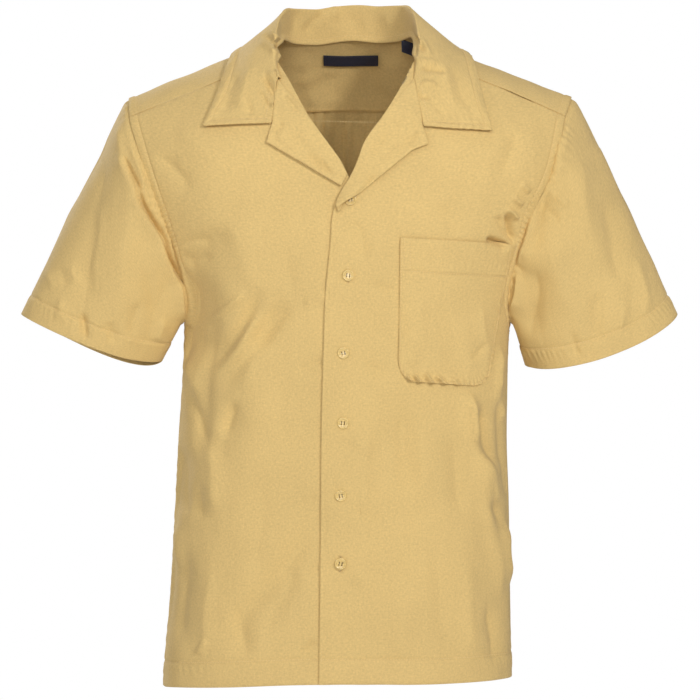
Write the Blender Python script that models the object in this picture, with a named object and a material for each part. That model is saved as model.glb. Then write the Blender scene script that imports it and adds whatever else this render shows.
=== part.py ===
"""Camp shirt with short sleeves and an open convertible collar, filled out as when worn.

Metres, +Z up. The front faces -Y and the wearer's left side is +X. The origin lies inside
the neck, just under the height of the shoulder seams, where the wearer holds the shirt up.
Every panel is a wall of cloth on one body surface, which is worked out from the girth
sections and the shoulder line below. Layers that lie on a panel are made from its points.
"""

import math
from collections import namedtuple

import bmesh
import bpy
import numpy as np
from mathutils import Vector

CLOTH = 0.0012
SEAM_HALF_GAP = 0.0002
LAYER_GAP = 0.0005
COLLAR_LAYER_GAP = 0.0013
HEM_DEPTH = 0.029
CUFF_HEM_DEPTH = 0.025
HEM_STEP = 0.0006
HEM_JOG = 0.0015
HEM_LEVEL = -0.750

# Girth sections from the neck to the hem. Widths and depths are measured from the
# middle plane; roundness is the exponent of the section's superellipse.
Girth = namedtuple("Girth", "height minus_width plus_width front back roundness")
GIRTHS = (
    Girth(0.050, 0.310, 0.310, 0.112, 0.110, 2.3),
    Girth(-0.050, 0.312, 0.310, 0.118, 0.113, 2.3),
    Girth(-0.090, 0.308, 0.304, 0.121, 0.116, 2.3),
    Girth(-0.132, 0.294, 0.290, 0.125, 0.119, 2.3),
    Girth(-0.162, 0.277, 0.272, 0.128, 0.121, 2.3),
    Girth(-0.207, 0.252, 0.245, 0.131, 0.121, 2.3),
    Girth(-0.234, 0.235, 0.228, 0.132, 0.120, 2.3),
    Girth(-0.269, 0.2145, 0.2070, 0.132, 0.118, 2.35),
    Girth(-0.322, 0.1990, 0.1935, 0.131, 0.113, 2.4),
    Girth(-0.406, 0.2010, 0.1885, 0.129, 0.107, 2.4),
    Girth(-0.463, 0.2045, 0.1875, 0.128, 0.106, 2.4),
    Girth(-0.546, 0.2095, 0.1900, 0.128, 0.109, 2.4),
    Girth(-0.666, 0.2170, 0.1930, 0.128, 0.118, 2.4),
    Girth(-0.733, 0.2225, 0.1940, 0.128, 0.121, 2.4),
    Girth(-0.780, 0.2240, 0.1940, 0.128, 0.122, 2.4),
)

# Shoulder line: height at the middle if it ran straight on, its slope, and how the
# cloth rounds over it to the front and to the back.
RIDGE_TOP = 0.0424
RIDGE_SLOPE = 0.40
RIDGE_ROUND = 0.020
FRONT_DROP = 0.125
FRONT_DROP_ROUNDNESS = 1.6
BACK_DROP = 0.135
BACK_DROP_ROUNDNESS = 1.9

# Armhole seam as seen from the front, from the tip of the shoulder down to where it
# turns under the arm; back_width is the same seam on the back, for both sides.
Armhole = namedtuple("Armhole", "height minus_width plus_width back_width")
ARMHOLES = (
    Armhole(-0.066, 0.2645, 0.2650, 0.2650),
    Armhole(-0.089, 0.2610, 0.2550, 0.2590),
    Armhole(-0.132, 0.2478, 0.2448, 0.2500),
    Armhole(-0.162, 0.2375, 0.2350, 0.2390),
    Armhole(-0.187, 0.2290, 0.2230, 0.2290),
    Armhole(-0.207, 0.2214, 0.2124, 0.2205),
    Armhole(-0.234, 0.2115, 0.2040, 0.2110),
    Armhole(-0.269, 0.2022, 0.1935, 0.2000),
)
SHOULDER_TIP = 0.2648
UNDERARM_TURN = -0.262
UNDERARM_HEIGHT = -0.332
SIDE_SEAM_ANGLE = 0.14

FRONT_YOKE_DROP = 0.028
BACK_YOKE_HEIGHT = -0.070
BACK_YOKE_FALL = 0.040

# Half of the neckline: across from the middle of the neck, and how far below the
# shoulder line it lies, from the centre back round to the forward yoke seam. The
# gorge is where the collar meets the roll of the lapel.
NECK_SHIFT = -0.004
Neck = namedtuple("Neck", "across drop face")
NECKLINE = (
    Neck(0.0000, 0.0200, 1),
    Neck(0.0280, 0.0175, 1),
    Neck(0.0520, 0.0105, 1),
    Neck(0.0690, 0.0035, 1),
    Neck(0.0765, 0.0000, 1),
    Neck(0.0810, 0.0080, -1),
    Neck(0.0835, 0.0280, -1),
)
NECK_RADIUS = 0.12
GORGE_GAP = 0.0010
GORGE_HEIGHT = -0.0506

# Edge of each front as seen from the front: roll of the lapel down to the button
# stand, then the straight edge to the hem. plus_x is the front that laps over.
Edge = namedtuple("Edge", "height minus_front_x plus_front_x")
EDGES = (
    Edge(-0.0506, -0.0840, 0.0738),
    Edge(-0.0880, -0.0545, 0.0450),
    Edge(-0.1270, -0.0260, 0.0165),
    Edge(-0.1500, -0.0100, 0.0080),
    Edge(-0.1680, -0.0010, -0.0002),
    Edge(-0.1830, 0.0080, -0.0092),
    Edge(-0.2010, 0.0160, -0.0172),
    Edge(-0.2170, 0.0185, -0.0206),
    Edge(-0.2400, 0.0200, -0.0219),
    Edge(-0.3080, 0.0195, -0.0281),
    Edge(-0.3690, 0.0160, -0.0300),
    Edge(-0.4500, 0.0145, -0.0322),
    Edge(-0.5380, 0.0120, -0.0330),
    Edge(-0.6530, 0.0110, -0.0341),
    Edge(-0.7800, 0.0110, -0.0356),
)
LAP_LIFT = 0.0022
LAP_WIDTH = 0.046
LAP_FADE = 0.034
LAP_TOP = -0.110
LAP_TOP_FADE = 0.050

# Lower edge of the shirt, by the angle from the centre front: 0 is the middle of the
# front, minus 90 the wearer's right side, 180 the middle of the back.
Hem = namedtuple("Hem", "degrees height")
HEMS = (
    Hem(-180.0, -0.762),
    Hem(-120.0, -0.765),
    Hem(-90.0, -0.766),
    Hem(-60.0, -0.761),
    Hem(-35.0, -0.7565),
    Hem(-12.0, -0.7515),
    Hem(0.0, -0.7505),
    Hem(20.0, -0.7515),
    Hem(50.0, -0.7518),
    Hem(75.0, -0.7530),
    Hem(90.0, -0.7545),
    Hem(120.0, -0.760),
    Hem(180.0, -0.762),
)

# Soft troughs and ridges: from a start to an end on the front (-1) or the back (1),
# as seen from the front, with the half-width and the depth (minus goes in).
Fold = namedtuple("Fold", "face x1 z1 x2 z2 width depth")
FOLDS = (
    Fold(-1, -0.165, -0.330, -0.172, -0.470, 0.016, -0.0045),
    Fold(-1, -0.186, -0.262, -0.156, -0.236, 0.012, -0.0035),
    Fold(-1, -0.120, -0.420, -0.150, -0.480, 0.014, -0.0030),
    Fold(-1, -0.042, -0.570, -0.130, -0.690, 0.018, -0.0035),
    Fold(-1, -0.140, -0.300, -0.110, -0.440, 0.022, 0.0035),
    Fold(-1, 0.142, -0.440, 0.162, -0.560, 0.014, 0.0040),
    Fold(-1, 0.162, -0.560, 0.176, -0.640, 0.012, 0.0030),
    Fold(-1, 0.176, -0.435, 0.184, -0.520, 0.014, -0.0040),
    Fold(-1, 0.064, -0.430, 0.070, -0.560, 0.020, -0.0025),
    Fold(1, -0.150, -0.250, -0.120, -0.520, 0.018, -0.0040),
    Fold(1, 0.140, -0.240, 0.125, -0.480, 0.018, -0.0040),
    Fold(1, -0.090, -0.180, -0.050, -0.420, 0.020, 0.0030),
    Fold(1, 0.080, -0.190, 0.060, -0.400, 0.020, 0.0030),
    Fold(1, -0.170, -0.420, -0.060, -0.540, 0.020, -0.0035),
    Fold(1, 0.160, -0.400, 0.060, -0.520, 0.020, -0.0035),
)
BODY_RADIUS = 0.165
SHOULDER_RADIUS = 0.110

PLEAT_MIDDLE = -0.004
PLEAT_HALF_WIDTH = 0.024
PLEAT_HEIGHT = 0.0032
PLEAT_LENGTH = 0.420
PLEAT_FOLD_WIDTH = 0.006
PLEAT_SPREAD = 0.03

# Sleeves: the two ends of the cuff as seen from the front, how far the cuff sags in
# the middle in front and behind, how much more of that falls to its inner end, and how
# far the head of the sleeve stands out.
Sleeve = namedtuple("Sleeve", "side outer_x outer_z inner_x inner_z front_sag back_sag lean head")
SLEEVES = {
    "sleeve_right": Sleeve(-1, -0.3925, -0.3225, -0.2250, -0.3770, 0.0115, 0.0180, 0.45, 0.0020),
    "sleeve_left": Sleeve(1, 0.3900, -0.3235, 0.2090, -0.3830, 0.0215, 0.0180, 0.00, 0.0035),
}
SAG_ROUND = 1.3
CUFF_HALF_DEPTH = 0.054
CUFF_FORWARD = -0.006
CUFF_JOG = 0.006
SLEEVE_FULLNESS = 0.009
FULLNESS_HIGH = 0.6
HEAD_HIGH = 0.5
HEAD_RISE = 0.5
SLEEVE_OFF_SEAM = 0.0018
SLEEVE_ABOVE_SEAM = 0.0006
SLEEVE_RIM_SLOPE = 0.0010

# Collar: heights of the stand and where the fall's edge lies, station by station from
# the gorge to the centre back. drop is measured down from the shoulder line.
Fall = namedtuple("Fall", "neck_share stand edge_x edge_drop behind")
FALLS_MINUS = (
    Fall(0.00, 0.0035, -0.0908, 0.1100, -1),
    Fall(0.12, 0.0045, -0.1295, 0.0960, -1),
    Fall(0.25, 0.0075, -0.1682, 0.0820, -1),
    Fall(0.38, 0.0140, -0.1500, 0.0400, -1),
    Fall(0.50, 0.0250, -0.1340, 0.0000, 1),
    Fall(0.64, 0.0380, -0.1130, 0.0130, 1),
    Fall(0.80, 0.0410, -0.0640, 0.0300, 1),
    Fall(1.00, 0.0385, -0.0050, 0.0400, 1),
)
FALLS_PLUS = (
    Fall(0.00, 0.0035, 0.0848, 0.1160, -1),
    Fall(0.12, 0.0045, 0.1240, 0.1027, -1),
    Fall(0.25, 0.0075, 0.1636, 0.0885, -1),
    Fall(0.38, 0.0150, 0.1500, 0.0420, -1),
    Fall(0.50, 0.0305, 0.1380, 0.0000, 1),
    Fall(0.64, 0.0410, 0.1180, 0.0110, 1),
    Fall(0.80, 0.0410, 0.0600, 0.0290, 1),
    Fall(1.00, 0.0385, -0.0050, 0.0400, 1),
)
COLLAR_TURN = 0.0014
COLLAR_OFF_SEAM = 0.0017
COLLAR_STATIONS = ((0.00, 4), (0.25, 9), (0.60, 6), (1.00, 0))
STAND_LEAN = 0.12
UPRIGHT_FROM = 0.15
UPRIGHT_WITHIN = 0.40
STAND_ROWS = 4
FALL_EASE = 0.95
FALL_ROWS = 7
TURN_ROWS = 3

# Lapels as seen from the front: the seam with the collar from the gorge out to the
# point, the lower edge from the point in to the break, and the break itself.
Corner = namedtuple("Corner", "x z")
Lapel = namedtuple("Lapel", "name side gorge_seam lower_edge break_end")
LAPELS = (
    Lapel("lapel_right", -1,
          (Corner(-0.0894, -0.1045), Corner(-0.0955, -0.1262)),
          (Corner(-0.0955, -0.1262), Corner(-0.0520, -0.1520), Corner(-0.0102, -0.1770)),
          Corner(-0.0030, -0.1650)),
    Lapel("lapel_left", 1,
          (Corner(0.0832, -0.1080), Corner(0.0900, -0.1285)),
          (Corner(0.0900, -0.1285), Corner(0.0712, -0.1360), Corner(0.0064, -0.1892),
           Corner(-0.0150, -0.2030)),
          Corner(-0.0170, -0.2005)),
)
LAPEL_OUT_LIFT = 0.0010
LAPEL_GAP = 0.0005
LAPEL_STEPS = 16
LAPEL_ROWS = 6

# Chest pocket as seen from the front.
POCKET_TOP = (Corner(0.0580, -0.2368), Corner(0.1885, -0.2432))
POCKET_BOTTOM = (Corner(0.0555, -0.4010), Corner(0.1630, -0.4085))
POCKET_CORNER = 0.024
POCKET_BAND = 0.038
POCKET_BAND_STEP = 0.0005
POCKET_ROWS = 9
POCKET_GAP = 0.0008

BUTTON_RADIUS = 0.0069
BUTTON_THICKNESS = 0.0024
BUTTON_WELL = 0.0017
BUTTON_HOLE_RADIUS = 0.0008
BUTTON_HOLE_PITCH = 0.0033
BUTTON_GAP = 0.0003
BUTTON_SIDES = 20
HOLE_SIDES = 6
Turning = namedtuple("Turning", "wide high")
BUTTON_PROFILE = (
    Turning(0.90, 0.00),
    Turning(1.00, 0.35),
    Turning(0.98, 0.80),
    Turning(0.86, 1.00),
    Turning(0.68, 0.90),
    Turning(0.62, BUTTON_WELL / BUTTON_THICKNESS),
)
BUTTONS = (
    Corner(0.0004, -0.1935),
    Corner(-0.0021, -0.2802),
    Corner(-0.0076, -0.3695),
    Corner(-0.0081, -0.4500),
    Corner(-0.0106, -0.5336),
    Corner(-0.0108, -0.6118),
)
BUTTON_HUMP = 0.0050
BUTTON_HUMP_WIDTH = 0.014

LABEL_LEFT = -0.0330
LABEL_RIGHT = 0.0350
LABEL_TOP = -0.0035
LABEL_BOTTOM = -0.0147
LABEL_GAP = 0.0013
LABEL_THICKNESS = 0.0008
LABEL_STEPS = 6
LABEL_ROWS = 2
TAB_LEFT = 0.0625
TAB_RIGHT = 0.0790
TAB_HEIGHT = 0.0165
TAB_DROP = 0.0040
TAB_GAP = 0.0014
TAB_SWING = 0.003
TAB_STEPS = 3

SHIRT_COLOUR = (0.730, 0.530, 0.235)
BUTTON_COLOUR = (0.800, 0.640, 0.330)
LABEL_COLOUR = (0.020, 0.018, 0.030)
CLOTH_ROUGHNESS = 0.85
BUTTON_ROUGHNESS = 0.35
SHARP_ANGLE = math.radians(50)

# How many faces each seam is cut into; panels that meet share these.
ARMHOLE_STEPS = 11
SIDE_STEPS = 12
YOKE_STEPS = 8
YOKE_ROWS = 8
NECK_STEPS = 16
GORGE_STEPS = 3
SLEEVE_ROWS = 9
LINE_POINTS = 60
CORNER_POINTS = 16
NORMAL_STEP = 0.0004


def read_smooth(places, values, at):
    """Cubic reading of a rising table that never overshoots its rows."""
    places = np.asarray(places, float)
    values = np.asarray(values, float)
    steps = np.diff(places)
    rises = np.diff(values) / steps
    slopes = np.zeros(len(places))
    inner = rises[:-1] * rises[1:] > 0
    mean = 2 * rises[:-1] * rises[1:] / np.where(inner, rises[:-1] + rises[1:], 1)
    slopes[1:-1] = np.where(inner, mean, 0)
    slopes[0] = rises[0]
    slopes[-1] = rises[-1]
    at = np.clip(np.asarray(at, float), places[0], places[-1])
    row = np.clip(np.searchsorted(places, at) - 1, 0, len(steps) - 1)
    part = (at - places[row]) / steps[row]
    start = (1 + 2 * part) * (1 - part) ** 2
    end = part ** 2 * (3 - 2 * part)
    leave = part * (1 - part) ** 2 * steps[row]
    arrive = -part ** 2 * (1 - part) * steps[row]
    return (start * values[row] + end * values[row + 1]
            + leave * slopes[row] + arrive * slopes[row + 1])


def read_table(rows, column, at, key="height"):
    """Read one column of a table at the given heights or shares."""
    ordered = sorted(rows, key=lambda row: getattr(row, key))
    places = [getattr(row, key) for row in ordered]
    values = [getattr(row, column) for row in ordered]
    return read_smooth(places, values, at)


def smooth_step(value):
    value = np.clip(value, 0, 1)
    return value * value * (3 - 2 * value)


def ridge_height(x):
    """Height of the shoulder line at x, rounded where the two slopes meet."""
    return RIDGE_TOP - RIDGE_SLOPE * np.sqrt(x * x + RIDGE_ROUND ** 2)


def depth_share(drop, face):
    """Share of the section's depth that is reached this far below the shoulder."""
    reach = np.where(face < 0, FRONT_DROP, BACK_DROP)
    power = np.where(face < 0, FRONT_DROP_ROUNDNESS, BACK_DROP_ROUNDNESS)
    left = 1 - np.clip(drop / reach, 0, 1)
    return (1 - left ** power) ** (1 / power)


def width_at(height, x):
    return np.where(x > 0, read_table(GIRTHS, "plus_width", height),
                    read_table(GIRTHS, "minus_width", height))


def depth_at(height, face):
    return np.where(face < 0, read_table(GIRTHS, "front", height),
                    read_table(GIRTHS, "back", height))


def body_point(angle, height):
    """Angle 0 is the plus side; negative angles run over the front, positive the back."""
    angle, height = np.broadcast_arrays(np.asarray(angle, float), np.asarray(height, float))
    face = np.where(np.sin(angle) < 0, -1.0, 1.0)
    power = 2 / read_table(GIRTHS, "roundness", height)
    cosine = np.cos(angle)
    x = width_at(height, cosine) * np.sign(cosine) * np.abs(cosine) ** power
    share = depth_share(ridge_height(x) - height, face)
    y = face * depth_at(height, face) * np.abs(np.sin(angle)) ** power * share
    return np.stack([x, y, height], axis=-1)


def shoulder_point(x, turn):
    """Same surface over the shoulder line: turn is 0 on it and negative in front."""
    x, turn = np.broadcast_arrays(np.asarray(x, float), np.asarray(turn, float))
    face = np.where(turn < 0, -1.0, 1.0)
    drop = np.where(face < 0, FRONT_DROP, BACK_DROP) * (1 - np.cos(turn))
    height = ridge_height(x) - drop
    power = read_table(GIRTHS, "roundness", height)
    across = np.clip(np.abs(x) / width_at(height, x), 0, 1)
    section = (1 - across ** power) ** (1 / power)
    y = face * depth_at(height, face) * section * depth_share(drop, face)
    return np.stack([x, y, height], axis=-1)


def turn_at(drop, face):
    """Turn over the shoulder that lies this far below its line."""
    reach = np.where(np.asarray(face) < 0, FRONT_DROP, BACK_DROP)
    return face * np.arccos(1 - np.clip(drop / reach, 0, 1))


def angle_at(x, height, face):
    """Angle of the body point that shows at x and height from the front."""
    x, height = np.broadcast_arrays(np.asarray(x, float), np.asarray(height, float))
    power = read_table(GIRTHS, "roundness", height) / 2
    share = np.clip(np.abs(x) / width_at(height, x), 0, 1) ** power
    return face * np.arccos(np.sign(x) * share)


def surface_normal(point_at, first, second):
    """Outward normal of a surface function by small steps either way."""
    across = point_at(first + NORMAL_STEP, second) - point_at(first - NORMAL_STEP, second)
    down = point_at(first, second - NORMAL_STEP) - point_at(first, second + NORMAL_STEP)
    normal = np.cross(down, across)
    return normal / np.linalg.norm(normal, axis=-1, keepdims=True)


def fold_depth(angle, height):
    """Sum of the soft troughs and ridges at a place on the body."""
    total = np.zeros(np.shape(angle))
    for fold in FOLDS:
        start = float(angle_at(fold.x1, fold.z1, fold.face))
        end = float(angle_at(fold.x2, fold.z2, fold.face))
        run = np.array([(end - start) * BODY_RADIUS, fold.z2 - fold.z1])
        off_x = (angle - start) * BODY_RADIUS
        off_z = height - fold.z1
        part = np.clip((off_x * run[0] + off_z * run[1]) / (run @ run), 0, 1)
        away = np.hypot(off_x - part * run[0], off_z - part * run[1])
        total = total + fold.depth * np.exp(-(away / fold.width) ** 2)
    return total


def pleat_depth(x, height):
    """Raised box of the centre back pleat, which opens out and dies away down the back."""
    below = np.maximum(0, BACK_YOKE_HEIGHT - height)
    edge = PLEAT_HALF_WIDTH + PLEAT_SPREAD * below
    across = smooth_step((edge - np.abs(x - PLEAT_MIDDLE)) / PLEAT_FOLD_WIDTH + 0.5)
    return PLEAT_HEIGHT * across * smooth_step(1 - below / PLEAT_LENGTH)


def lap_depth(x, height):
    """Lift of the front that laps over, beside its edge."""
    beside = x - read_table(EDGES, "plus_front_x", height)
    fade = smooth_step((LAP_WIDTH + LAP_FADE - beside) / LAP_FADE)
    return LAP_LIFT * fade * smooth_step((LAP_TOP - height) / LAP_TOP_FADE)


def dressed_point(angle, height, lift=0.0, layer="plain"):
    """Point on the cloth of a panel, with its folds, lifted along the normal."""
    angle, height = np.broadcast_arrays(np.asarray(angle, float), np.asarray(height, float))
    base = body_point(angle, height)
    rise = fold_depth(np.where(angle > math.pi, angle - 2 * math.pi, angle), height) + lift
    if layer == "back":
        rise = rise + pleat_depth(base[..., 0], height)
    if layer == "over":
        rise = rise + lap_depth(base[..., 0], height)
    return base + surface_normal(body_point, angle, height) * rise[..., None]


def upward_normal(x, turn):
    """Normal of the cloth over the shoulder line, which points up and out."""
    normal = surface_normal(shoulder_point, x, turn)
    return normal * np.where(normal[..., 2:3] < 0, -1, 1)


def shoulder_lifted(x, turn, lift=0.0):
    """Point on the yoke, lifted along the normal."""
    x, turn = np.broadcast_arrays(np.asarray(x, float), np.asarray(turn, float))
    lift = np.broadcast_to(np.asarray(lift, float), x.shape)
    return shoulder_point(x, turn) + upward_normal(x, turn) * lift[..., None]


def grid_normals(grid, closed=False):
    """Normals of a grid of points; they point out of rows that run down, left to right."""
    if closed:
        padded = np.concatenate([grid[:, -1:], grid, grid[:, :1]], axis=1)
        across = padded[:, 2:] - padded[:, :-2]
    else:
        across = np.gradient(grid, axis=1)
    normal = np.cross(np.gradient(grid, axis=0), across)
    return normal / np.linalg.norm(normal, axis=-1, keepdims=True)


def pull_in(grid, amount, closed=False):
    """Draw a grid's edges in by the seam gap, within its own surface."""
    moved = grid.copy()
    for first, second in ((0, 1), (-1, -2)):
        step = grid[second] - grid[first]
        moved[first] += step / np.linalg.norm(step, axis=-1, keepdims=True) * amount
        if not closed:
            step = grid[:, second] - grid[:, first]
            moved[:, first] += step / np.linalg.norm(step, axis=-1, keepdims=True) * amount
    return moved


def path_share(points):
    """Share of the way along a line at each of its points."""
    steps = np.linalg.norm(np.diff(points, axis=0), axis=1)
    length = np.concatenate([[0], np.cumsum(steps)])
    return length / length[-1]


def spread(points, count):
    """Points at even steps along a line of points."""
    points = np.asarray(points, float)
    share = path_share(points)
    at = np.linspace(0, 1, count)
    return np.stack([np.interp(at, share, column) for column in points.T], axis=-1)


def blend_patch(top, bottom, left, right):
    """Coons patch between four edges that meet at the corners."""
    v = ((path_share(left) + path_share(right)) / 2)[:, None, None]
    u = ((path_share(top) + path_share(bottom)) / 2)[None, :, None]
    sides = (1 - u) * left[:, None] + u * right[:, None]
    ends = (1 - v) * top[None] + v * bottom[None]
    corners = ((1 - u) * (1 - v) * top[0] + u * (1 - v) * top[-1]
               + (1 - u) * v * bottom[0] + u * v * bottom[-1])
    return sides + ends - corners


def finish_for(name, colour, roughness):
    material = bpy.data.materials.new(name)
    material.use_nodes = True
    shader = material.node_tree.nodes["Principled BSDF"]
    shader.inputs["Base Color"].default_value = (*colour, 1)
    shader.inputs["Roughness"].default_value = roughness
    shader.inputs["Metallic"].default_value = 0
    material.diffuse_color = (*colour, 1)
    return material


def add_object(name, points, faces, colour=SHIRT_COLOUR, roughness=CLOTH_ROUGHNESS):
    """One named solid with its own material, its faces turned outwards."""
    built = bmesh.new()
    corners = [built.verts.new(tuple(map(float, point))) for point in points]
    for face in faces:
        built.faces.new([corners[k] for k in face])
    bmesh.ops.triangulate(built, faces=built.faces)
    bmesh.ops.recalc_face_normals(built, faces=built.faces)
    if built.calc_volume(signed=True) < 0:
        bmesh.ops.reverse_faces(built, faces=built.faces)
    mesh = bpy.data.meshes.new(name)
    built.to_mesh(mesh)
    built.free()
    mesh.shade_smooth()
    mesh.set_sharp_from_angle(angle=SHARP_ANGLE)
    mesh.materials.append(finish_for(name + "_finish", colour, roughness))
    item = bpy.data.objects.new(name, mesh)
    bpy.context.collection.objects.link(item)
    return item


def add_wall(name, outer, inner, closed=False, colour=SHIRT_COLOUR):
    """Solid between two matching grids; closed joins the last column to the first."""
    rows, columns = outer.shape[:2]
    points = np.concatenate([outer.reshape(-1, 3), inner.reshape(-1, 3)])
    half = rows * columns
    spans = columns if closed else columns - 1
    faces = []
    for i in range(rows - 1):
        for j in range(spans):
            k = (j + 1) % columns
            quad = [i * columns + j, i * columns + k, (i + 1) * columns + k, (i + 1) * columns + j]
            faces.append(quad)
            faces.append([half + corner for corner in reversed(quad)])
    rims = [(i * columns + j, i * columns + (j + 1) % columns)
            for i in (0, rows - 1) for j in range(spans)]
    if not closed:
        rims += [(i * columns + j, (i + 1) * columns + j)
                 for j in (0, columns - 1) for i in range(rows - 1)]
    faces += [[a, b, half + b, half + a] for a, b in rims]
    return add_object(name, points, faces, colour)


def clear_scene():
    for item in list(bpy.data.objects):
        bpy.data.objects.remove(item, do_unlink=True)


def front_yoke_height(x):
    return ridge_height(x) - FRONT_YOKE_DROP


def back_yoke_height(x):
    return BACK_YOKE_HEIGHT - BACK_YOKE_FALL * (x / SHOULDER_TIP) ** 2


def armhole_x(side, face, height):
    column = "back_width" if face > 0 else ("plus_width" if side > 0 else "minus_width")
    return side * read_table(ARMHOLES, column, height)


def yoke_corner(side, face):
    """Where a yoke seam meets the armhole, as x and height."""
    height = -0.09
    for _ in range(20):
        x = float(armhole_x(side, face, height))
        height = float(back_yoke_height(x) if face > 0 else front_yoke_height(x))
    return x, height


def armhole_branch(side, face):
    """Armhole seam from the yoke's corner to under the arm, as (angle, height)."""
    heights = np.linspace(yoke_corner(side, face)[1], UNDERARM_TURN, LINE_POINTS)
    line = np.stack([angle_at(armhole_x(side, face, heights), heights, face), heights], -1)
    end = side_seam_angle(side, face)
    part = np.linspace(0, math.pi / 2, CORNER_POINTS)[1:]
    curve = np.stack([end + (line[-1, 0] - end) * np.cos(part),
                      UNDERARM_TURN - (UNDERARM_TURN - UNDERARM_HEIGHT) * np.sin(part)], -1)
    scale = np.array([BODY_RADIUS, 1])
    return spread(np.concatenate([line, curve]) * scale, ARMHOLE_STEPS + 1) / scale


def side_seam_angle(side, face):
    """Side seams lie a little to the front; the back reaches them past the half turn."""
    if side > 0:
        return -SIDE_SEAM_ANGLE
    return math.pi + SIDE_SEAM_ANGLE if face > 0 else -math.pi + SIDE_SEAM_ANGLE


def hem_height(angle):
    degrees = np.degrees(np.asarray(angle, float)) + 90
    degrees = (degrees + 180) % 360 - 180
    return read_table(HEMS, "height", degrees, "degrees")


def hem_band(angle_for):
    """End of a panel's edge: the hem band's stitching and the hem."""
    hem = float(hem_height(angle_for(HEM_LEVEL)))
    rows = [hem + HEM_DEPTH + HEM_JOG, hem + HEM_DEPTH, hem]
    return np.array([[float(angle_for(height)), height] for height in rows])


def side_edge(side, face):
    """Outer edge of a front or back: armhole, side seam and hem band."""
    armhole = armhole_branch(side, face)
    angle = side_seam_angle(side, face)
    band = hem_band(lambda height: angle)
    heights = np.linspace(UNDERARM_HEIGHT, band[0, 1], SIDE_STEPS + 1)[1:-1]
    seam = np.stack([np.full(len(heights), angle), heights], -1)
    return np.concatenate([armhole, seam, band])


def front_edge(side):
    """Edge of a front: roll of the lapel, straight edge and hem band."""
    column = "plus_front_x" if side > 0 else "minus_front_x"

    def angle_for(height):
        return angle_at(read_table(EDGES, column, height), height, -1)

    band = hem_band(angle_for)
    heights = np.linspace(GORGE_HEIGHT, band[0, 1], LINE_POINTS)
    line = np.stack([angle_for(heights), heights], -1)
    scale = np.array([BODY_RADIUS, 1])
    line = spread(line * scale, ARMHOLE_STEPS + SIDE_STEPS + 1) / scale
    return np.concatenate([line[:-1], band])


def neck_line():
    """Neckline from the plus yoke corner over the back to the minus one, (x, turn)."""
    across = np.array([row.across for row in NECKLINE])
    turns = np.array([float(turn_at(row.drop, row.face)) for row in NECKLINE])
    half = np.stack([across, turns], -1)[::-1]
    other = half[::-1][1:] * (-1, 1)
    line = np.concatenate([half, other])
    share = path_share(line * (1, NECK_RADIUS))
    at = np.linspace(0, 1, NECK_STEPS + 1)
    x = read_smooth(share, line[:, 0], at) + NECK_SHIFT
    return np.stack([x, read_smooth(share, line[:, 1], at)], -1)


def front_yoke_seam(side):
    """Forward yoke seam from the neck out to the armhole, as (x, turn)."""
    start = float(neck_line()[0 if side > 0 else -1, 0])
    x = np.linspace(start, yoke_corner(side, -1)[0], YOKE_STEPS + 1)
    return np.stack([x, turn_at(np.full(len(x), FRONT_YOKE_DROP), -1)], -1)


def back_yoke_seam():
    """Back yoke seam from the plus armhole to the minus one, as (x, turn)."""
    x = np.linspace(yoke_corner(1, 1)[0], yoke_corner(-1, 1)[0], 2 * YOKE_STEPS + NECK_STEPS + 1)
    return np.stack([x, turn_at(ridge_height(x) - back_yoke_height(x), 1)], -1)


def yoke_side(side):
    """Armhole edge of the yoke from its front corner to its back one, as (x, turn)."""
    front_x, front_height = yoke_corner(side, -1)
    back_x, back_height = yoke_corner(side, 1)
    front_turn = float(turn_at(FRONT_YOKE_DROP, -1))
    back_turn = float(turn_at(float(ridge_height(back_x)) - back_height, 1))
    turns = np.linspace(front_turn, back_turn, YOKE_ROWS + 1)
    tip = side * SHOULDER_TIP
    x = np.where(turns < 0, tip - (tip - front_x) * (turns / front_turn) ** 2,
                 tip - (tip - back_x) * (turns / back_turn) ** 2)
    return np.stack([x, turns], -1)


def to_body(line):
    """Change a seam from (x, turn) to (angle, height)."""
    points = shoulder_point(line[:, 0], line[:, 1])
    face = np.where(line[:, 1] < 0, -1.0, 1.0)
    return np.stack([angle_at(points[:, 0], points[:, 2], face), points[:, 2]], -1)


def hem_line(start, end, count):
    angles = np.linspace(start, end, count)
    return np.stack([angles, hem_height(angles)], -1)


def panel_grids(patch, layer):
    """Outer and inner faces of a body panel, its hem turned up double."""
    angle, height = patch[..., 0], patch[..., 1]
    hem = np.zeros(angle.shape)
    hem[-2:] = HEM_STEP
    outer = dressed_point(angle, height, hem, layer)
    inner = dressed_point(angle, height, -CLOTH, layer)
    return pull_in(outer, SEAM_HALF_GAP), pull_in(inner, SEAM_HALF_GAP)


def body_patch(top, left, right):
    scale = np.array([BODY_RADIUS, 1])
    bottom = hem_line(left[-1, 0], right[-1, 0], len(top))
    patch = blend_patch(top * scale, bottom * scale, left * scale, right * scale)
    return patch / scale


def front_top(side):
    """Top edge of a front from the gorge up the neck and along the forward yoke seam."""
    seam = to_body(front_yoke_seam(side))
    gorge = front_edge(side)[0]
    neck = np.linspace(gorge, seam[0], GORGE_STEPS + 1)[:-1]
    return np.concatenate([neck, seam])


def add_front(side):
    top = front_top(side)
    if side > 0:
        patch = body_patch(top, front_edge(side), side_edge(side, -1))
    else:
        patch = body_patch(top[::-1], side_edge(side, -1), front_edge(side))
    outer, inner = panel_grids(patch, "over" if side > 0 else "plain")
    add_wall("front_left" if side > 0 else "front_right", outer, inner)


def add_back():
    patch = body_patch(to_body(back_yoke_seam()), side_edge(1, 1), side_edge(-1, 1))
    add_wall("back", *panel_grids(patch, "back"))


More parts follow.
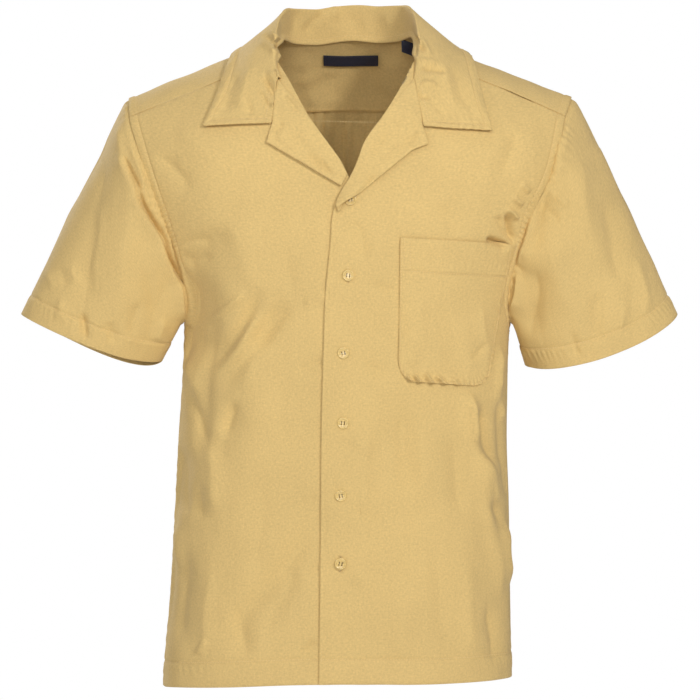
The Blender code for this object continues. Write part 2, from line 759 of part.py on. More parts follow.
def add_yoke():
    front = np.concatenate([front_yoke_seam(1)[::-1], neck_line()[1:-1], front_yoke_seam(-1)])
    scale = np.array([1, SHOULDER_RADIUS])
    patch = blend_patch(front * scale, back_yoke_seam() * scale,
                        yoke_side(1) * scale, yoke_side(-1) * scale) / scale
    outer = shoulder_lifted(patch[..., 0], patch[..., 1])
    inner = shoulder_lifted(patch[..., 0], patch[..., 1], -CLOTH)
    add_wall("yoke", pull_in(outer, SEAM_HALF_GAP), pull_in(inner, SEAM_HALF_GAP))


def armhole_loop(side):
    """Whole armhole from the shoulder tip down the front and up the back, in space."""
    yoke = yoke_side(side)
    ridge = int(np.argmin(np.abs(yoke[:, 1])))
    over = shoulder_point(yoke[:, 0], yoke[:, 1])
    over_normal = upward_normal(yoke[:, 0], yoke[:, 1])
    branches = []
    for face in (-1, 1):
        line = armhole_branch(side, face)
        angle, height = line[:, 0], line[:, 1]
        branches.append((dressed_point(angle, height), surface_normal(body_point, angle, height)))
    front, back = branches
    points = np.concatenate([over[ridge:0:-1], front[0], back[0][-2:0:-1], over[:ridge:-1]])
    normals = np.concatenate([over_normal[ridge:0:-1], front[1], back[1][-2:0:-1],
                              over_normal[:ridge:-1]])
    inward = points.mean(axis=0) - points
    inward -= normals * np.sum(inward * normals, axis=1, keepdims=True)
    inward /= np.linalg.norm(inward, axis=1, keepdims=True)
    return points + inward * SLEEVE_OFF_SEAM + normals * SLEEVE_ABOVE_SEAM


def sleeve_grid(side, sleeve):
    """Sleeve from the armhole to the cuff, rows down and columns around."""
    loop = armhole_loop(side)
    under = int(np.argmin(loop[:, 2]))
    share = path_share(np.concatenate([loop, loop[:1]]))[:-1]
    half = share[under]
    turn = np.where(share <= half, math.pi * share / half,
                    math.pi + math.pi * (share - half) / (1 - half))
    outer = np.array([sleeve.outer_x, CUFF_FORWARD, sleeve.outer_z])
    inner = np.array([sleeve.inner_x, CUFF_FORWARD, sleeve.inner_z])
    middle = (outer + inner) / 2
    reach = (outer - inner) / 2
    sag = np.where(np.sin(turn) > 0, sleeve.front_sag, sleeve.back_sag)
    sag = sag * np.abs(np.sin(turn)) ** SAG_ROUND * (1 - sleeve.lean * np.cos(turn))
    cuff = middle + np.cos(turn)[:, None] * reach
    cuff[:, 1] -= CUFF_HALF_DEPTH * np.sin(turn)
    cuff[:, 2] -= sag
    hem_share = 1 - CUFF_HEM_DEPTH / float(np.linalg.norm(loop[0] - cuff[0]))
    rows = np.concatenate([np.linspace(0, hem_share - CUFF_JOG, SLEEVE_ROWS), [hem_share, 1]])
    grid = (1 - rows)[:, None, None] * loop[None] + rows[:, None, None] * cuff[None]
    full = SLEEVE_FULLNESS * np.sin(math.pi * rows ** FULLNESS_HIGH)
    grid[..., 1] -= full[:, None] * np.sin(turn)
    head = sleeve.head * np.sin(math.pi * rows ** HEAD_HIGH)
    head = head[:, None] * np.maximum(np.cos(turn), 0)
    grid[..., 0] += side * head
    grid[..., 2] += HEAD_RISE * head
    return grid if side < 0 else grid[:, ::-1]


def add_sleeve(name):
    sleeve = SLEEVES[name]
    outer = sleeve_grid(sleeve.side, sleeve)
    normals = grid_normals(outer, closed=True)
    inner = outer - normals * CLOTH
    down = outer[1] - outer[0]
    inner[0] += down / np.linalg.norm(down, axis=-1, keepdims=True) * SLEEVE_RIM_SLOPE
    outer[-2:] += normals[-2:] * HEM_STEP
    add_wall(name, outer, inner, closed=True)


def add_collar():
    """Collar in one piece: stand up from the neck seam, turn, and fall to its edge."""
    share = [np.linspace(here, after, steps + 1)[:-1]
             for (here, steps), (after, _) in zip(COLLAR_STATIONS, COLLAR_STATIONS[1:])]
    share = np.concatenate(share + [[1.0]])
    sides = [collar_half(1, FALLS_PLUS, share), collar_half(-1, FALLS_MINUS, share)]
    grid = np.concatenate([sides[0], sides[1][::-1][1:]])
    normals = grid_normals(grid)
    add_wall("collar", grid + normals * CLOTH / 2, grid - normals * CLOTH / 2)


def neck_half(side, share):
    """Neck seam from the gorge to the centre back, as (x, turn)."""
    whole = neck_line()
    middle = NECK_STEPS // 2
    half = whole[:middle + 1] if side > 0 else whole[:middle - 1:-1]
    column = "plus_front_x" if side > 0 else "minus_front_x"
    gorge_x = float(read_table(EDGES, column, GORGE_HEIGHT)) + side * GORGE_GAP
    gorge = (gorge_x, float(turn_at(float(ridge_height(gorge_x)) - GORGE_HEIGHT, -1)))
    line = np.concatenate([[gorge], half])
    at = path_share(shoulder_point(line[:, 0], line[:, 1]))
    return np.stack([read_smooth(at, line[:, 0], share), read_smooth(at, line[:, 1], share)], -1)


def collar_half(side, falls, share):
    """Middle surface of half the collar: stations along it, rows from seam to edge."""
    neck = neck_half(side, share)
    seam = shoulder_point(neck[:, 0], neck[:, 1])
    upright = smooth_step((share - UPRIGHT_FROM) / UPRIGHT_WITHIN)[:, None]
    lean = np.array([0, -STAND_LEAN, 1]) / math.hypot(1, STAND_LEAN)
    rise = upright * lean + (1 - upright) * upward_normal(neck[:, 0], neck[:, 1])
    rise /= np.linalg.norm(rise, axis=1, keepdims=True)
    along = np.gradient(seam, axis=0)
    out = np.cross(along, rise) * -side
    out /= np.linalg.norm(out, axis=1, keepdims=True)
    out *= np.sign(np.sum(out * (seam - (NECK_SHIFT, 0, 0)), axis=1, keepdims=True))
    stand = read_table(falls, "stand", share, "neck_share")[:, None]
    foot = seam + rise * COLLAR_OFF_SEAM
    top = seam + rise * stand
    rows = [foot + (top - foot) * part for part in np.linspace(0, 1, STAND_ROWS)]
    for part in np.linspace(0, math.pi, TURN_ROWS + 2)[1:-1]:
        rows.append(top + COLLAR_TURN * (out * (1 - math.cos(part)) + rise * math.sin(part)))
    start = top + out * 2 * COLLAR_TURN
    edge_x = read_table(falls, "edge_x", share, "neck_share")
    edge_turn = np.array([float(turn_at(row.edge_drop, row.behind)) for row in falls])
    edge_turn = read_smooth([row.neck_share for row in falls], edge_turn, share)
    lift = COLLAR_LAYER_GAP + CLOTH / 2
    first = start - shoulder_lifted(neck[:, 0], neck[:, 1], lift)
    for part in np.linspace(0, 1, FALL_ROWS):
        x = neck[:, 0] + (edge_x - neck[:, 0]) * part
        turn = neck[:, 1] + (edge_turn - neck[:, 1]) * part
        rows.append(shoulder_lifted(x, turn, lift) + first * (1 - part) ** FALL_EASE)
    return np.stack(rows, axis=1)


def polyline(corners):
    """Corners seen from the front, as (angle, height) on the front of the body."""
    x = np.array([corner.x for corner in corners])
    z = np.array([corner.z for corner in corners])
    return np.stack([angle_at(x, z, -1), z], -1)


def add_lapel(lapel):
    """Turned-back facing: a layer on its front, which rises over the top button."""
    scale = np.array([BODY_RADIUS, 1])
    column = "plus_front_x" if lapel.side > 0 else "minus_front_x"
    heights = np.linspace(GORGE_HEIGHT - LAPEL_GAP, lapel.break_end.z, LINE_POINTS)
    x = read_table(EDGES, column, heights) + lapel.side * LAPEL_GAP
    roll = np.stack([angle_at(x, heights, -1), heights], -1)
    gorge = np.concatenate([roll[:1], polyline(lapel.gorge_seam[:1])])
    tip = polyline(lapel.gorge_seam)
    seam = np.concatenate([spread(gorge * scale, LAPEL_ROWS - 1),
                           spread(tip * scale, 3)[1:]])
    lower = polyline(lapel.lower_edge)
    end = np.stack([roll[-1], lower[-1]])
    patch = blend_patch(spread(roll * scale, LAPEL_STEPS + 1),
                        spread(lower * scale, LAPEL_STEPS + 1),
                        seam, spread(end * scale, LAPEL_ROWS + 1)) / scale
    angle, height = patch[..., 0], patch[..., 1]
    layer = "plain"
    lift = LAYER_GAP + LAPEL_OUT_LIFT * np.linspace(0, 1, LAPEL_ROWS + 1)[:, None]
    lift = lift + np.zeros(angle.shape)
    if lapel.side > 0:
        layer = "over"
        away = np.hypot(body_point(angle, height)[..., 0] - BUTTONS[0].x, height - BUTTONS[0].z)
        lift += BUTTON_HUMP * np.exp(-(away / BUTTON_HUMP_WIDTH) ** 2)
    outer = dressed_point(angle, height, lift + CLOTH, layer)
    add_wall(lapel.name, outer, dressed_point(angle, height, lift, layer))


def pocket_patch():
    """Pocket as (angle, height): straight sides, round lower corners."""
    corner = POCKET_CORNER * (1 - np.cos(np.linspace(0, math.pi / 2, 5)))
    width = POCKET_TOP[1].x - POCKET_TOP[0].x
    places = np.concatenate([corner, np.linspace(corner[-1], width - corner[-1], 7)[1:-1],
                             width - corner[::-1]])
    short = POCKET_CORNER - np.sqrt(np.maximum(0, POCKET_CORNER ** 2 - np.maximum(
        0, POCKET_CORNER - np.minimum(places, width - places)) ** 2))
    share = places / width
    top_x = POCKET_TOP[0].x + share * width
    top_z = POCKET_TOP[0].z + share * (POCKET_TOP[1].z - POCKET_TOP[0].z)
    low_x = POCKET_BOTTOM[0].x + share * (POCKET_BOTTOM[1].x - POCKET_BOTTOM[0].x)
    low_z = POCKET_BOTTOM[0].z + share * (POCKET_BOTTOM[1].z - POCKET_BOTTOM[0].z) + short
    band = POCKET_BAND / (POCKET_TOP[0].z - POCKET_BOTTOM[0].z)
    jog = HEM_JOG / (POCKET_TOP[0].z - POCKET_BOTTOM[0].z)
    rows = np.concatenate([[0, band / 2, band, band + jog],
                           np.linspace(band + jog, 1, POCKET_ROWS)[1:]])
    x = top_x + rows[:, None] * (low_x - top_x)
    z = top_z + rows[:, None] * (low_z - top_z)
    return np.stack([angle_at(x, z, -1), z], -1), rows <= band


def add_pocket():
    patch, band = pocket_patch()
    angle, height = patch[..., 0], patch[..., 1]
    lift = POCKET_GAP + CLOTH + POCKET_BAND_STEP * band[:, None] + np.zeros(angle.shape)
    outer = dressed_point(angle, height, lift, "over")
    add_wall("pocket", outer, dressed_point(angle, height, POCKET_GAP, "over"))


def circle(radius, height, sides, centre=(0, 0)):
    turns = [2 * math.pi * k / sides for k in range(sides)]
    return [(centre[0] + radius * math.cos(t), centre[1] + radius * math.sin(t), height)
            for t in turns]


def add_button(name, place):
    """Turned button with a raised rim, a well and four holes, flat on its front."""
    built = bmesh.new()

    def loop(points):
        corners = [built.verts.new(point) for point in points]
        edges = [built.edges.new((corners[k - 1], corners[k])) for k in range(len(corners))]
        return corners, edges

    def bridge(first, second):
        for k in range(len(first)):
            built.faces.new((first[k - 1], first[k], second[k], second[k - 1]))

    rings = [loop(circle(BUTTON_RADIUS * wide, BUTTON_THICKNESS * high, BUTTON_SIDES))
             for wide, high in BUTTON_PROFILE]
    for first, second in zip(rings, rings[1:]):
        bridge(first[0], second[0])
    low_edges, high_edges = list(rings[0][1]), list(rings[-1][1])
    half = BUTTON_HOLE_PITCH / 2
    for centre in ((half, half), (-half, half), (-half, -half), (half, -half)):
        low = loop(circle(BUTTON_HOLE_RADIUS, 0, HOLE_SIDES, centre))
        high = loop(circle(BUTTON_HOLE_RADIUS, BUTTON_WELL, HOLE_SIDES, centre))
        bridge(low[0], high[0])
        low_edges += low[1]
        high_edges += high[1]
    for edges in (low_edges, high_edges):
        bmesh.ops.triangle_fill(built, edges=edges, use_beauty=True)
    bmesh.ops.triangulate(built, faces=built.faces)
    bmesh.ops.recalc_face_normals(built, faces=built.faces)
    if built.calc_volume(signed=True) < 0:
        bmesh.ops.reverse_faces(built, faces=built.faces)
    mesh = bpy.data.meshes.new(name)
    built.to_mesh(mesh)
    built.free()
    mesh.shade_smooth()
    mesh.set_sharp_from_angle(angle=SHARP_ANGLE)
    mesh.materials.append(finish_for(name + "_finish", BUTTON_COLOUR, BUTTON_ROUGHNESS))
    item = bpy.data.objects.new(name, mesh)
    angle = angle_at(place.x, place.z, -1)
    item.location = dressed_point(angle, place.z, BUTTON_GAP, "over")
    normal = surface_normal(body_point, angle, np.asarray(place.z))
    item.rotation_mode = "QUATERNION"
    item.rotation_quaternion = Vector(normal).to_track_quat("Z", "Y")
    bpy.context.collection.objects.link(item)


def add_neck_label():
    """Bare woven label on the inside of the yoke, under the neck seam."""
    x, z = np.meshgrid(np.linspace(LABEL_RIGHT, LABEL_LEFT, LABEL_STEPS + 1),
                       np.linspace(LABEL_TOP, LABEL_BOTTOM, LABEL_ROWS + 1))
    turn = turn_at(ridge_height(x) - z, 1)
    near = shoulder_lifted(x, turn, -CLOTH - LABEL_GAP)
    far = shoulder_lifted(x, turn, -CLOTH - LABEL_GAP - LABEL_THICKNESS)
    add_wall("neck_label", near, far, colour=LABEL_COLOUR)


def add_size_tab():
    """Small bare tab that hangs from the neck seam beside the label."""
    x = np.linspace(TAB_LEFT, TAB_RIGHT, TAB_STEPS + 1)
    hang = shoulder_point(x, turn_at(np.full(len(x), TAB_DROP), 1))
    hang[:, 2] -= CLOTH + TAB_GAP
    fall = np.linspace(0, TAB_HEIGHT, LABEL_ROWS + 1)
    front = hang[None] - np.array([0, 0, 1]) * fall[:, None, None]
    front[..., 1] -= TAB_SWING * (fall / TAB_HEIGHT)[:, None] ** 2
    back = front + np.array([0, LABEL_THICKNESS, 0])
    add_wall("size_tab", front, back, colour=LABEL_COLOUR)


clear_scene()
add_front(1)
add_front(-1)
add_back()
add_yoke()
for sleeve_name in SLEEVES:
    add_sleeve(sleeve_name)
add_collar()
for lapel_row in LAPELS:
    add_lapel(lapel_row)
add_pocket()
for number, button_place in enumerate(BUTTONS, 1):
    add_button(f"button_{number}", button_place)
add_neck_label()
add_size_tab()
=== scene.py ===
"""Looks of the camp shirt: fine cloth shells, sewing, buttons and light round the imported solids.

Metres, +Z up, front to -Y. The cloth lies on the surfaces that the solids are made from, with
its creases, seams and stitches added along the normal.
"""

import math
from collections import namedtuple

import bmesh
import bpy
import numpy as np
from mathutils import Matrix, Vector
from mathutils.kdtree import KDTree


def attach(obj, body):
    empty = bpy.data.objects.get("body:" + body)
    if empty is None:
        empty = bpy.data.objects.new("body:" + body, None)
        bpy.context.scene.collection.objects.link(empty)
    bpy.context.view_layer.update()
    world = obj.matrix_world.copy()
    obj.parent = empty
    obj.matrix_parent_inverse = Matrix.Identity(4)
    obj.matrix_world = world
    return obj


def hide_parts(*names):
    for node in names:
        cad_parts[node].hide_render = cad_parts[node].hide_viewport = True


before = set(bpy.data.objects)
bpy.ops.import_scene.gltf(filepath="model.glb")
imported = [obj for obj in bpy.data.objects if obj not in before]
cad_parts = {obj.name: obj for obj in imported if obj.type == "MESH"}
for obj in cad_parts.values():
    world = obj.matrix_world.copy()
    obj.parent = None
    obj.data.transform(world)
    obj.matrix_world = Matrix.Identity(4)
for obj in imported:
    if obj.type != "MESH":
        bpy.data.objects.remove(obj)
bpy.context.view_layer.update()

bl_info = {
    "name": "Camp Shirt",
    "version": (1, 0, 0),
    "blender": (4, 5, 0),
    "location": "3D View > Sidebar > Camp Shirt",
    "description": "Poplin camp shirt with its sewing, buttons, labels and studio light",
    "category": "Add Mesh",
}

BODY = "root"
MILLIMETRES = 1000

CLOTH = 0.0012
LAYER_GAP = 0.0005
COLLAR_LAYER_GAP = 0.0013

# Girth sections from the neck to the hem. Widths and depths are measured from the
# middle plane; roundness is the exponent of the section's superellipse.
Girth = namedtuple("Girth", "height minus_width plus_width front back roundness")
GIRTHS = (
    Girth(0.050, 0.310, 0.310, 0.112, 0.110, 2.3),
    Girth(-0.050, 0.312, 0.310, 0.118, 0.113, 2.3),
    Girth(-0.090, 0.308, 0.304, 0.121, 0.116, 2.3),
    Girth(-0.132, 0.294, 0.290, 0.125, 0.119, 2.3),
    Girth(-0.162, 0.277, 0.272, 0.128, 0.121, 2.3),
    Girth(-0.207, 0.252, 0.245, 0.131, 0.121, 2.3),
    Girth(-0.234, 0.235, 0.228, 0.132, 0.120, 2.3),
    Girth(-0.269, 0.2145, 0.2070, 0.132, 0.118, 2.35),
    Girth(-0.322, 0.1990, 0.1935, 0.131, 0.113, 2.4),
    Girth(-0.406, 0.2010, 0.1885, 0.129, 0.107, 2.4),
    Girth(-0.463, 0.2045, 0.1875, 0.128, 0.106, 2.4),
    Girth(-0.546, 0.2095, 0.1900, 0.128, 0.109, 2.4),
    Girth(-0.666, 0.2170, 0.1930, 0.128, 0.118, 2.4),
    Girth(-0.733, 0.2225, 0.1940, 0.128, 0.121, 2.4),
    Girth(-0.780, 0.2240, 0.1940, 0.128, 0.122, 2.4),
)

# Shoulder line: height at the middle if it ran straight on, its slope, and how the
# cloth rounds over it to the front and to the back.
RIDGE_TOP = 0.0424
RIDGE_SLOPE = 0.40
RIDGE_ROUND = 0.020
FRONT_DROP = 0.125
FRONT_DROP_ROUNDNESS = 1.6
BACK_DROP = 0.135
BACK_DROP_ROUNDNESS = 1.9

# Armhole seam as seen from the front, from the tip of the shoulder down to where it
# turns under the arm; back_width is the same seam on the back, for both sides.
Armhole = namedtuple("Armhole", "height minus_width plus_width back_width")
ARMHOLES = (
    Armhole(-0.066, 0.2645, 0.2650, 0.2650),
    Armhole(-0.089, 0.2610, 0.2550, 0.2590),
    Armhole(-0.132, 0.2478, 0.2448, 0.2500),
    Armhole(-0.162, 0.2375, 0.2350, 0.2390),
    Armhole(-0.187, 0.2290, 0.2230, 0.2290),
    Armhole(-0.207, 0.2214, 0.2124, 0.2205),
    Armhole(-0.234, 0.2115, 0.2040, 0.2110),
    Armhole(-0.269, 0.2022, 0.1935, 0.2000),
)
SHOULDER_TIP = 0.2648
UNDERARM_TURN = -0.262
UNDERARM_HEIGHT = -0.332
SIDE_SEAM_ANGLE = 0.14

FRONT_YOKE_DROP = 0.028
BACK_YOKE_HEIGHT = -0.070
BACK_YOKE_FALL = 0.040
YOKE_CORNER_GUESS = -0.09
YOKE_CORNER_ROUNDS = 20

# Half of the neckline: across from the middle of the neck, and how far below the
# shoulder line it lies, from the centre back round to the forward yoke seam. The
# gorge is where the collar meets the roll of the lapel.
NECK_SHIFT = -0.004
Neck = namedtuple("Neck", "across drop face")
NECKLINE = (
    Neck(0.0000, 0.0200, 1),
    Neck(0.0280, 0.0175, 1),
    Neck(0.0520, 0.0105, 1),
    Neck(0.0690, 0.0035, 1),
    Neck(0.0765, 0.0000, 1),
    Neck(0.0810, 0.0080, -1),
    Neck(0.0835, 0.0280, -1),
)
NECK_RADIUS = 0.12
GORGE_GAP = 0.0010
GORGE_HEIGHT = -0.0506

# Edge of each front as seen from the front: roll of the lapel down to the button
# stand, then the straight edge to the hem. plus_x is the front that laps over.
Edge = namedtuple("Edge", "height minus_front_x plus_front_x")
EDGES = (
    Edge(-0.0506, -0.0840, 0.0738),
    Edge(-0.0880, -0.0545, 0.0450),
    Edge(-0.1270, -0.0260, 0.0165),
    Edge(-0.1500, -0.0100, 0.0080),
    Edge(-0.1680, -0.0010, -0.0002),
    Edge(-0.1830, 0.0080, -0.0092),
    Edge(-0.2010, 0.0160, -0.0172),
    Edge(-0.2170, 0.0185, -0.0206),
    Edge(-0.2400, 0.0200, -0.0219),
    Edge(-0.3080, 0.0195, -0.0281),
    Edge(-0.3690, 0.0160, -0.0300),
    Edge(-0.4500, 0.0145, -0.0322),
    Edge(-0.5380, 0.0120, -0.0330),
    Edge(-0.6530, 0.0110, -0.0341),
    Edge(-0.7800, 0.0110, -0.0356),
)
LAP_LIFT = 0.0022
LAP_WIDTH = 0.046
LAP_FADE = 0.034
LAP_TOP = -0.110
LAP_TOP_FADE = 0.050

# Lower edge of the shirt, by the angle from the centre front: 0 is the middle of the
# front, minus 90 the wearer's right side, 180 the middle of the back.
Hem = namedtuple("Hem", "degrees height")
HEMS = (
    Hem(-180.0, -0.762),
    Hem(-120.0, -0.765),
    Hem(-90.0, -0.766),
    Hem(-60.0, -0.761),
    Hem(-35.0, -0.7565),
    Hem(-12.0, -0.7515),
    Hem(0.0, -0.7505),
    Hem(20.0, -0.7515),
    Hem(50.0, -0.7518),
    Hem(75.0, -0.7530),
    Hem(90.0, -0.7545),
    Hem(120.0, -0.760),
    Hem(180.0, -0.762),
)

# Soft troughs and ridges: from a start to an end on the front (-1) or the back (1),
# as seen from the front, with the half-width and the depth (minus goes in).
Fold = namedtuple("Fold", "face x1 z1 x2 z2 width depth")
FOLDS = (
    Fold(-1, -0.165, -0.330, -0.172, -0.470, 0.016, -0.0045),
    Fold(-1, -0.186, -0.262, -0.156, -0.236, 0.012, -0.0035),
    Fold(-1, -0.120, -0.420, -0.150, -0.480, 0.014, -0.0030),
    Fold(-1, -0.042, -0.570, -0.130, -0.690, 0.018, -0.0035),
    Fold(-1, -0.140, -0.300, -0.110, -0.440, 0.022, 0.0035),
    Fold(-1, 0.142, -0.440, 0.162, -0.560, 0.014, 0.0040),
    Fold(-1, 0.162, -0.560, 0.176, -0.640, 0.012, 0.0030),
    Fold(-1, 0.176, -0.435, 0.184, -0.520, 0.014, -0.0040),
    Fold(-1, 0.064, -0.430, 0.070, -0.560, 0.020, -0.0025),
    Fold(1, -0.150, -0.250, -0.120, -0.520, 0.018, -0.0040),
    Fold(1, 0.140, -0.240, 0.125, -0.480, 0.018, -0.0040),
    Fold(1, -0.090, -0.180, -0.050, -0.420, 0.020, 0.0030),
    Fold(1, 0.080, -0.190, 0.060, -0.400, 0.020, 0.0030),
    Fold(1, -0.170, -0.420, -0.060, -0.540, 0.020, -0.0035),
    Fold(1, 0.160, -0.400, 0.060, -0.520, 0.020, -0.0035),
)
BODY_RADIUS = 0.165
SHOULDER_RADIUS = 0.110

PLEAT_MIDDLE = -0.004
PLEAT_HALF_WIDTH = 0.024
PLEAT_HEIGHT = 0.0032
PLEAT_LENGTH = 0.420
PLEAT_FOLD_WIDTH = 0.006
PLEAT_SPREAD = 0.03

# Sleeves: the two ends of the cuff as seen from the front, how far the cuff sags in
# the middle in front and behind, how much more of that falls to its inner end, and how
# far the head of the sleeve stands out.
Sleeve = namedtuple("Sleeve", "side outer_x outer_z inner_x inner_z front_sag back_sag lean head")
SLEEVES = {
    "sleeve_right": Sleeve(-1, -0.3925, -0.3225, -0.2250, -0.3770, 0.0115, 0.0180, 0.45, 0.0020),
    "sleeve_left": Sleeve(1, 0.3900, -0.3235, 0.2090, -0.3830, 0.0215, 0.0180, 0.00, 0.0035),
}
SAG_ROUND = 1.3
CUFF_HALF_DEPTH = 0.054
CUFF_FORWARD = -0.006
SLEEVE_FULLNESS = 0.009
FULLNESS_HIGH = 0.6
HEAD_HIGH = 0.5
HEAD_RISE = 0.5

# Collar: heights of the stand and where the fall's edge lies, station by station from
# the gorge to the centre back. drop is measured down from the shoulder line.
Fall = namedtuple("Fall", "neck_share stand edge_x edge_drop behind")
FALLS_MINUS = (
    Fall(0.00, 0.0008, -0.0908, 0.1100, -1),
    Fall(0.12, 0.0045, -0.1295, 0.0960, -1),
    Fall(0.25, 0.0075, -0.1682, 0.0820, -1),
    Fall(0.38, 0.0140, -0.1500, 0.0400, -1),
    Fall(0.50, 0.0250, -0.1340, 0.0000, 1),
    Fall(0.64, 0.0368, -0.1130, 0.0130, 1),
    Fall(0.80, 0.0390, -0.0640, 0.0300, 1),
    Fall(1.00, 0.0385, -0.0050, 0.0400, 1),
)
FALLS_PLUS = (
    Fall(0.00, 0.0008, 0.0848, 0.1160, -1),
    Fall(0.12, 0.0045, 0.1240, 0.1027, -1),
    Fall(0.25, 0.0075, 0.1636, 0.0885, -1),
    Fall(0.38, 0.0150, 0.1500, 0.0420, -1),
    Fall(0.50, 0.0270, 0.1380, 0.0000, 1),
    Fall(0.64, 0.0362, 0.1180, 0.0110, 1),
    Fall(0.80, 0.0385, 0.0600, 0.0290, 1),
    Fall(1.00, 0.0385, -0.0050, 0.0400, 1),
)
COLLAR_TURN = 0.0014
COLLAR_OFF_SEAM = 0.0017
STAND_LEAN = 0.12
UPRIGHT_FROM = 0.15
UPRIGHT_WITHIN = 0.40
FALL_EASE = 0.95

# Lapels as seen from the front: the seam with the collar from the gorge out to the
# point, the lower edge from the point in to the break, and the break itself.
Corner = namedtuple("Corner", "x z")
Lapel = namedtuple("Lapel", "name side gorge_seam lower_edge break_end")
LAPELS = (
    Lapel("lapel_right", -1,
          (Corner(-0.0894, -0.1045), Corner(-0.0955, -0.1262)),
          (Corner(-0.0955, -0.1262), Corner(-0.0520, -0.1520), Corner(-0.0102, -0.1770)),
          Corner(-0.0030, -0.1650)),
    Lapel("lapel_left", 1,
          (Corner(0.0832, -0.1080), Corner(0.0900, -0.1285)),
          (Corner(0.0900, -0.1285), Corner(0.0712, -0.1360), Corner(0.0064, -0.1892),
           Corner(-0.0150, -0.2030)),
          Corner(-0.0170, -0.2005)),
)
LAPEL_OUT_LIFT = 0.0010
LAPEL_GAP = 0.0005

# Chest pocket as seen from the front.
POCKET_TOP = (Corner(0.0580, -0.2368), Corner(0.1885, -0.2432))
POCKET_BOTTOM = (Corner(0.0555, -0.4010), Corner(0.1630, -0.4085))
POCKET_CORNER = 0.024
POCKET_BAND = 0.038
POCKET_GAP = 0.0008

BUTTON_RADIUS = 0.0069
BUTTON_THICKNESS = 0.0024
BUTTON_WELL = 0.0017
BUTTON_HOLE_RADIUS = 0.0008
BUTTON_HOLE_PITCH = 0.0033
BUTTON_GAP = 0.0003
BUTTONS = (
    Corner(0.0004, -0.1935),
    Corner(-0.0021, -0.2802),
    Corner(-0.0076, -0.3695),
    Corner(-0.0081, -0.4500),
    Corner(-0.0106, -0.5336),
    Corner(-0.0108, -0.6118),
)
BUTTON_HUMP = 0.0050
BUTTON_HUMP_WIDTH = 0.014

LABEL_LEFT = -0.0330
LABEL_RIGHT = 0.0350
LABEL_TOP = -0.0035
LABEL_BOTTOM = -0.0147
LABEL_GAP = 0.0013
LABEL_THICKNESS = 0.0008
TAB_LEFT = 0.0625
TAB_RIGHT = 0.0790
TAB_HEIGHT = 0.0165
TAB_DROP = 0.0040
TAB_GAP = 0.0014
TAB_SWING = 0.009

NORMAL_STEP = 0.0004

HEM_LEVEL = -0.750
GRAIN_HEIGHT = -0.45
GRAIN_POINTS = 400
GRAIN_LAYER = "cloth_grain"
LINE_POINTS = 160
CORNER_POINTS = 60
YOKE_STEPS = 8
YOKE_FINER = 12
NECK_STATIONS = 41

# The camera looks level along +Y from this far in front, at this height.
CAMERA_AWAY = 3.13
CAMERA_HEIGHT = -0.366
CAMERA_LENS = 134.2
SENSOR = 36.0

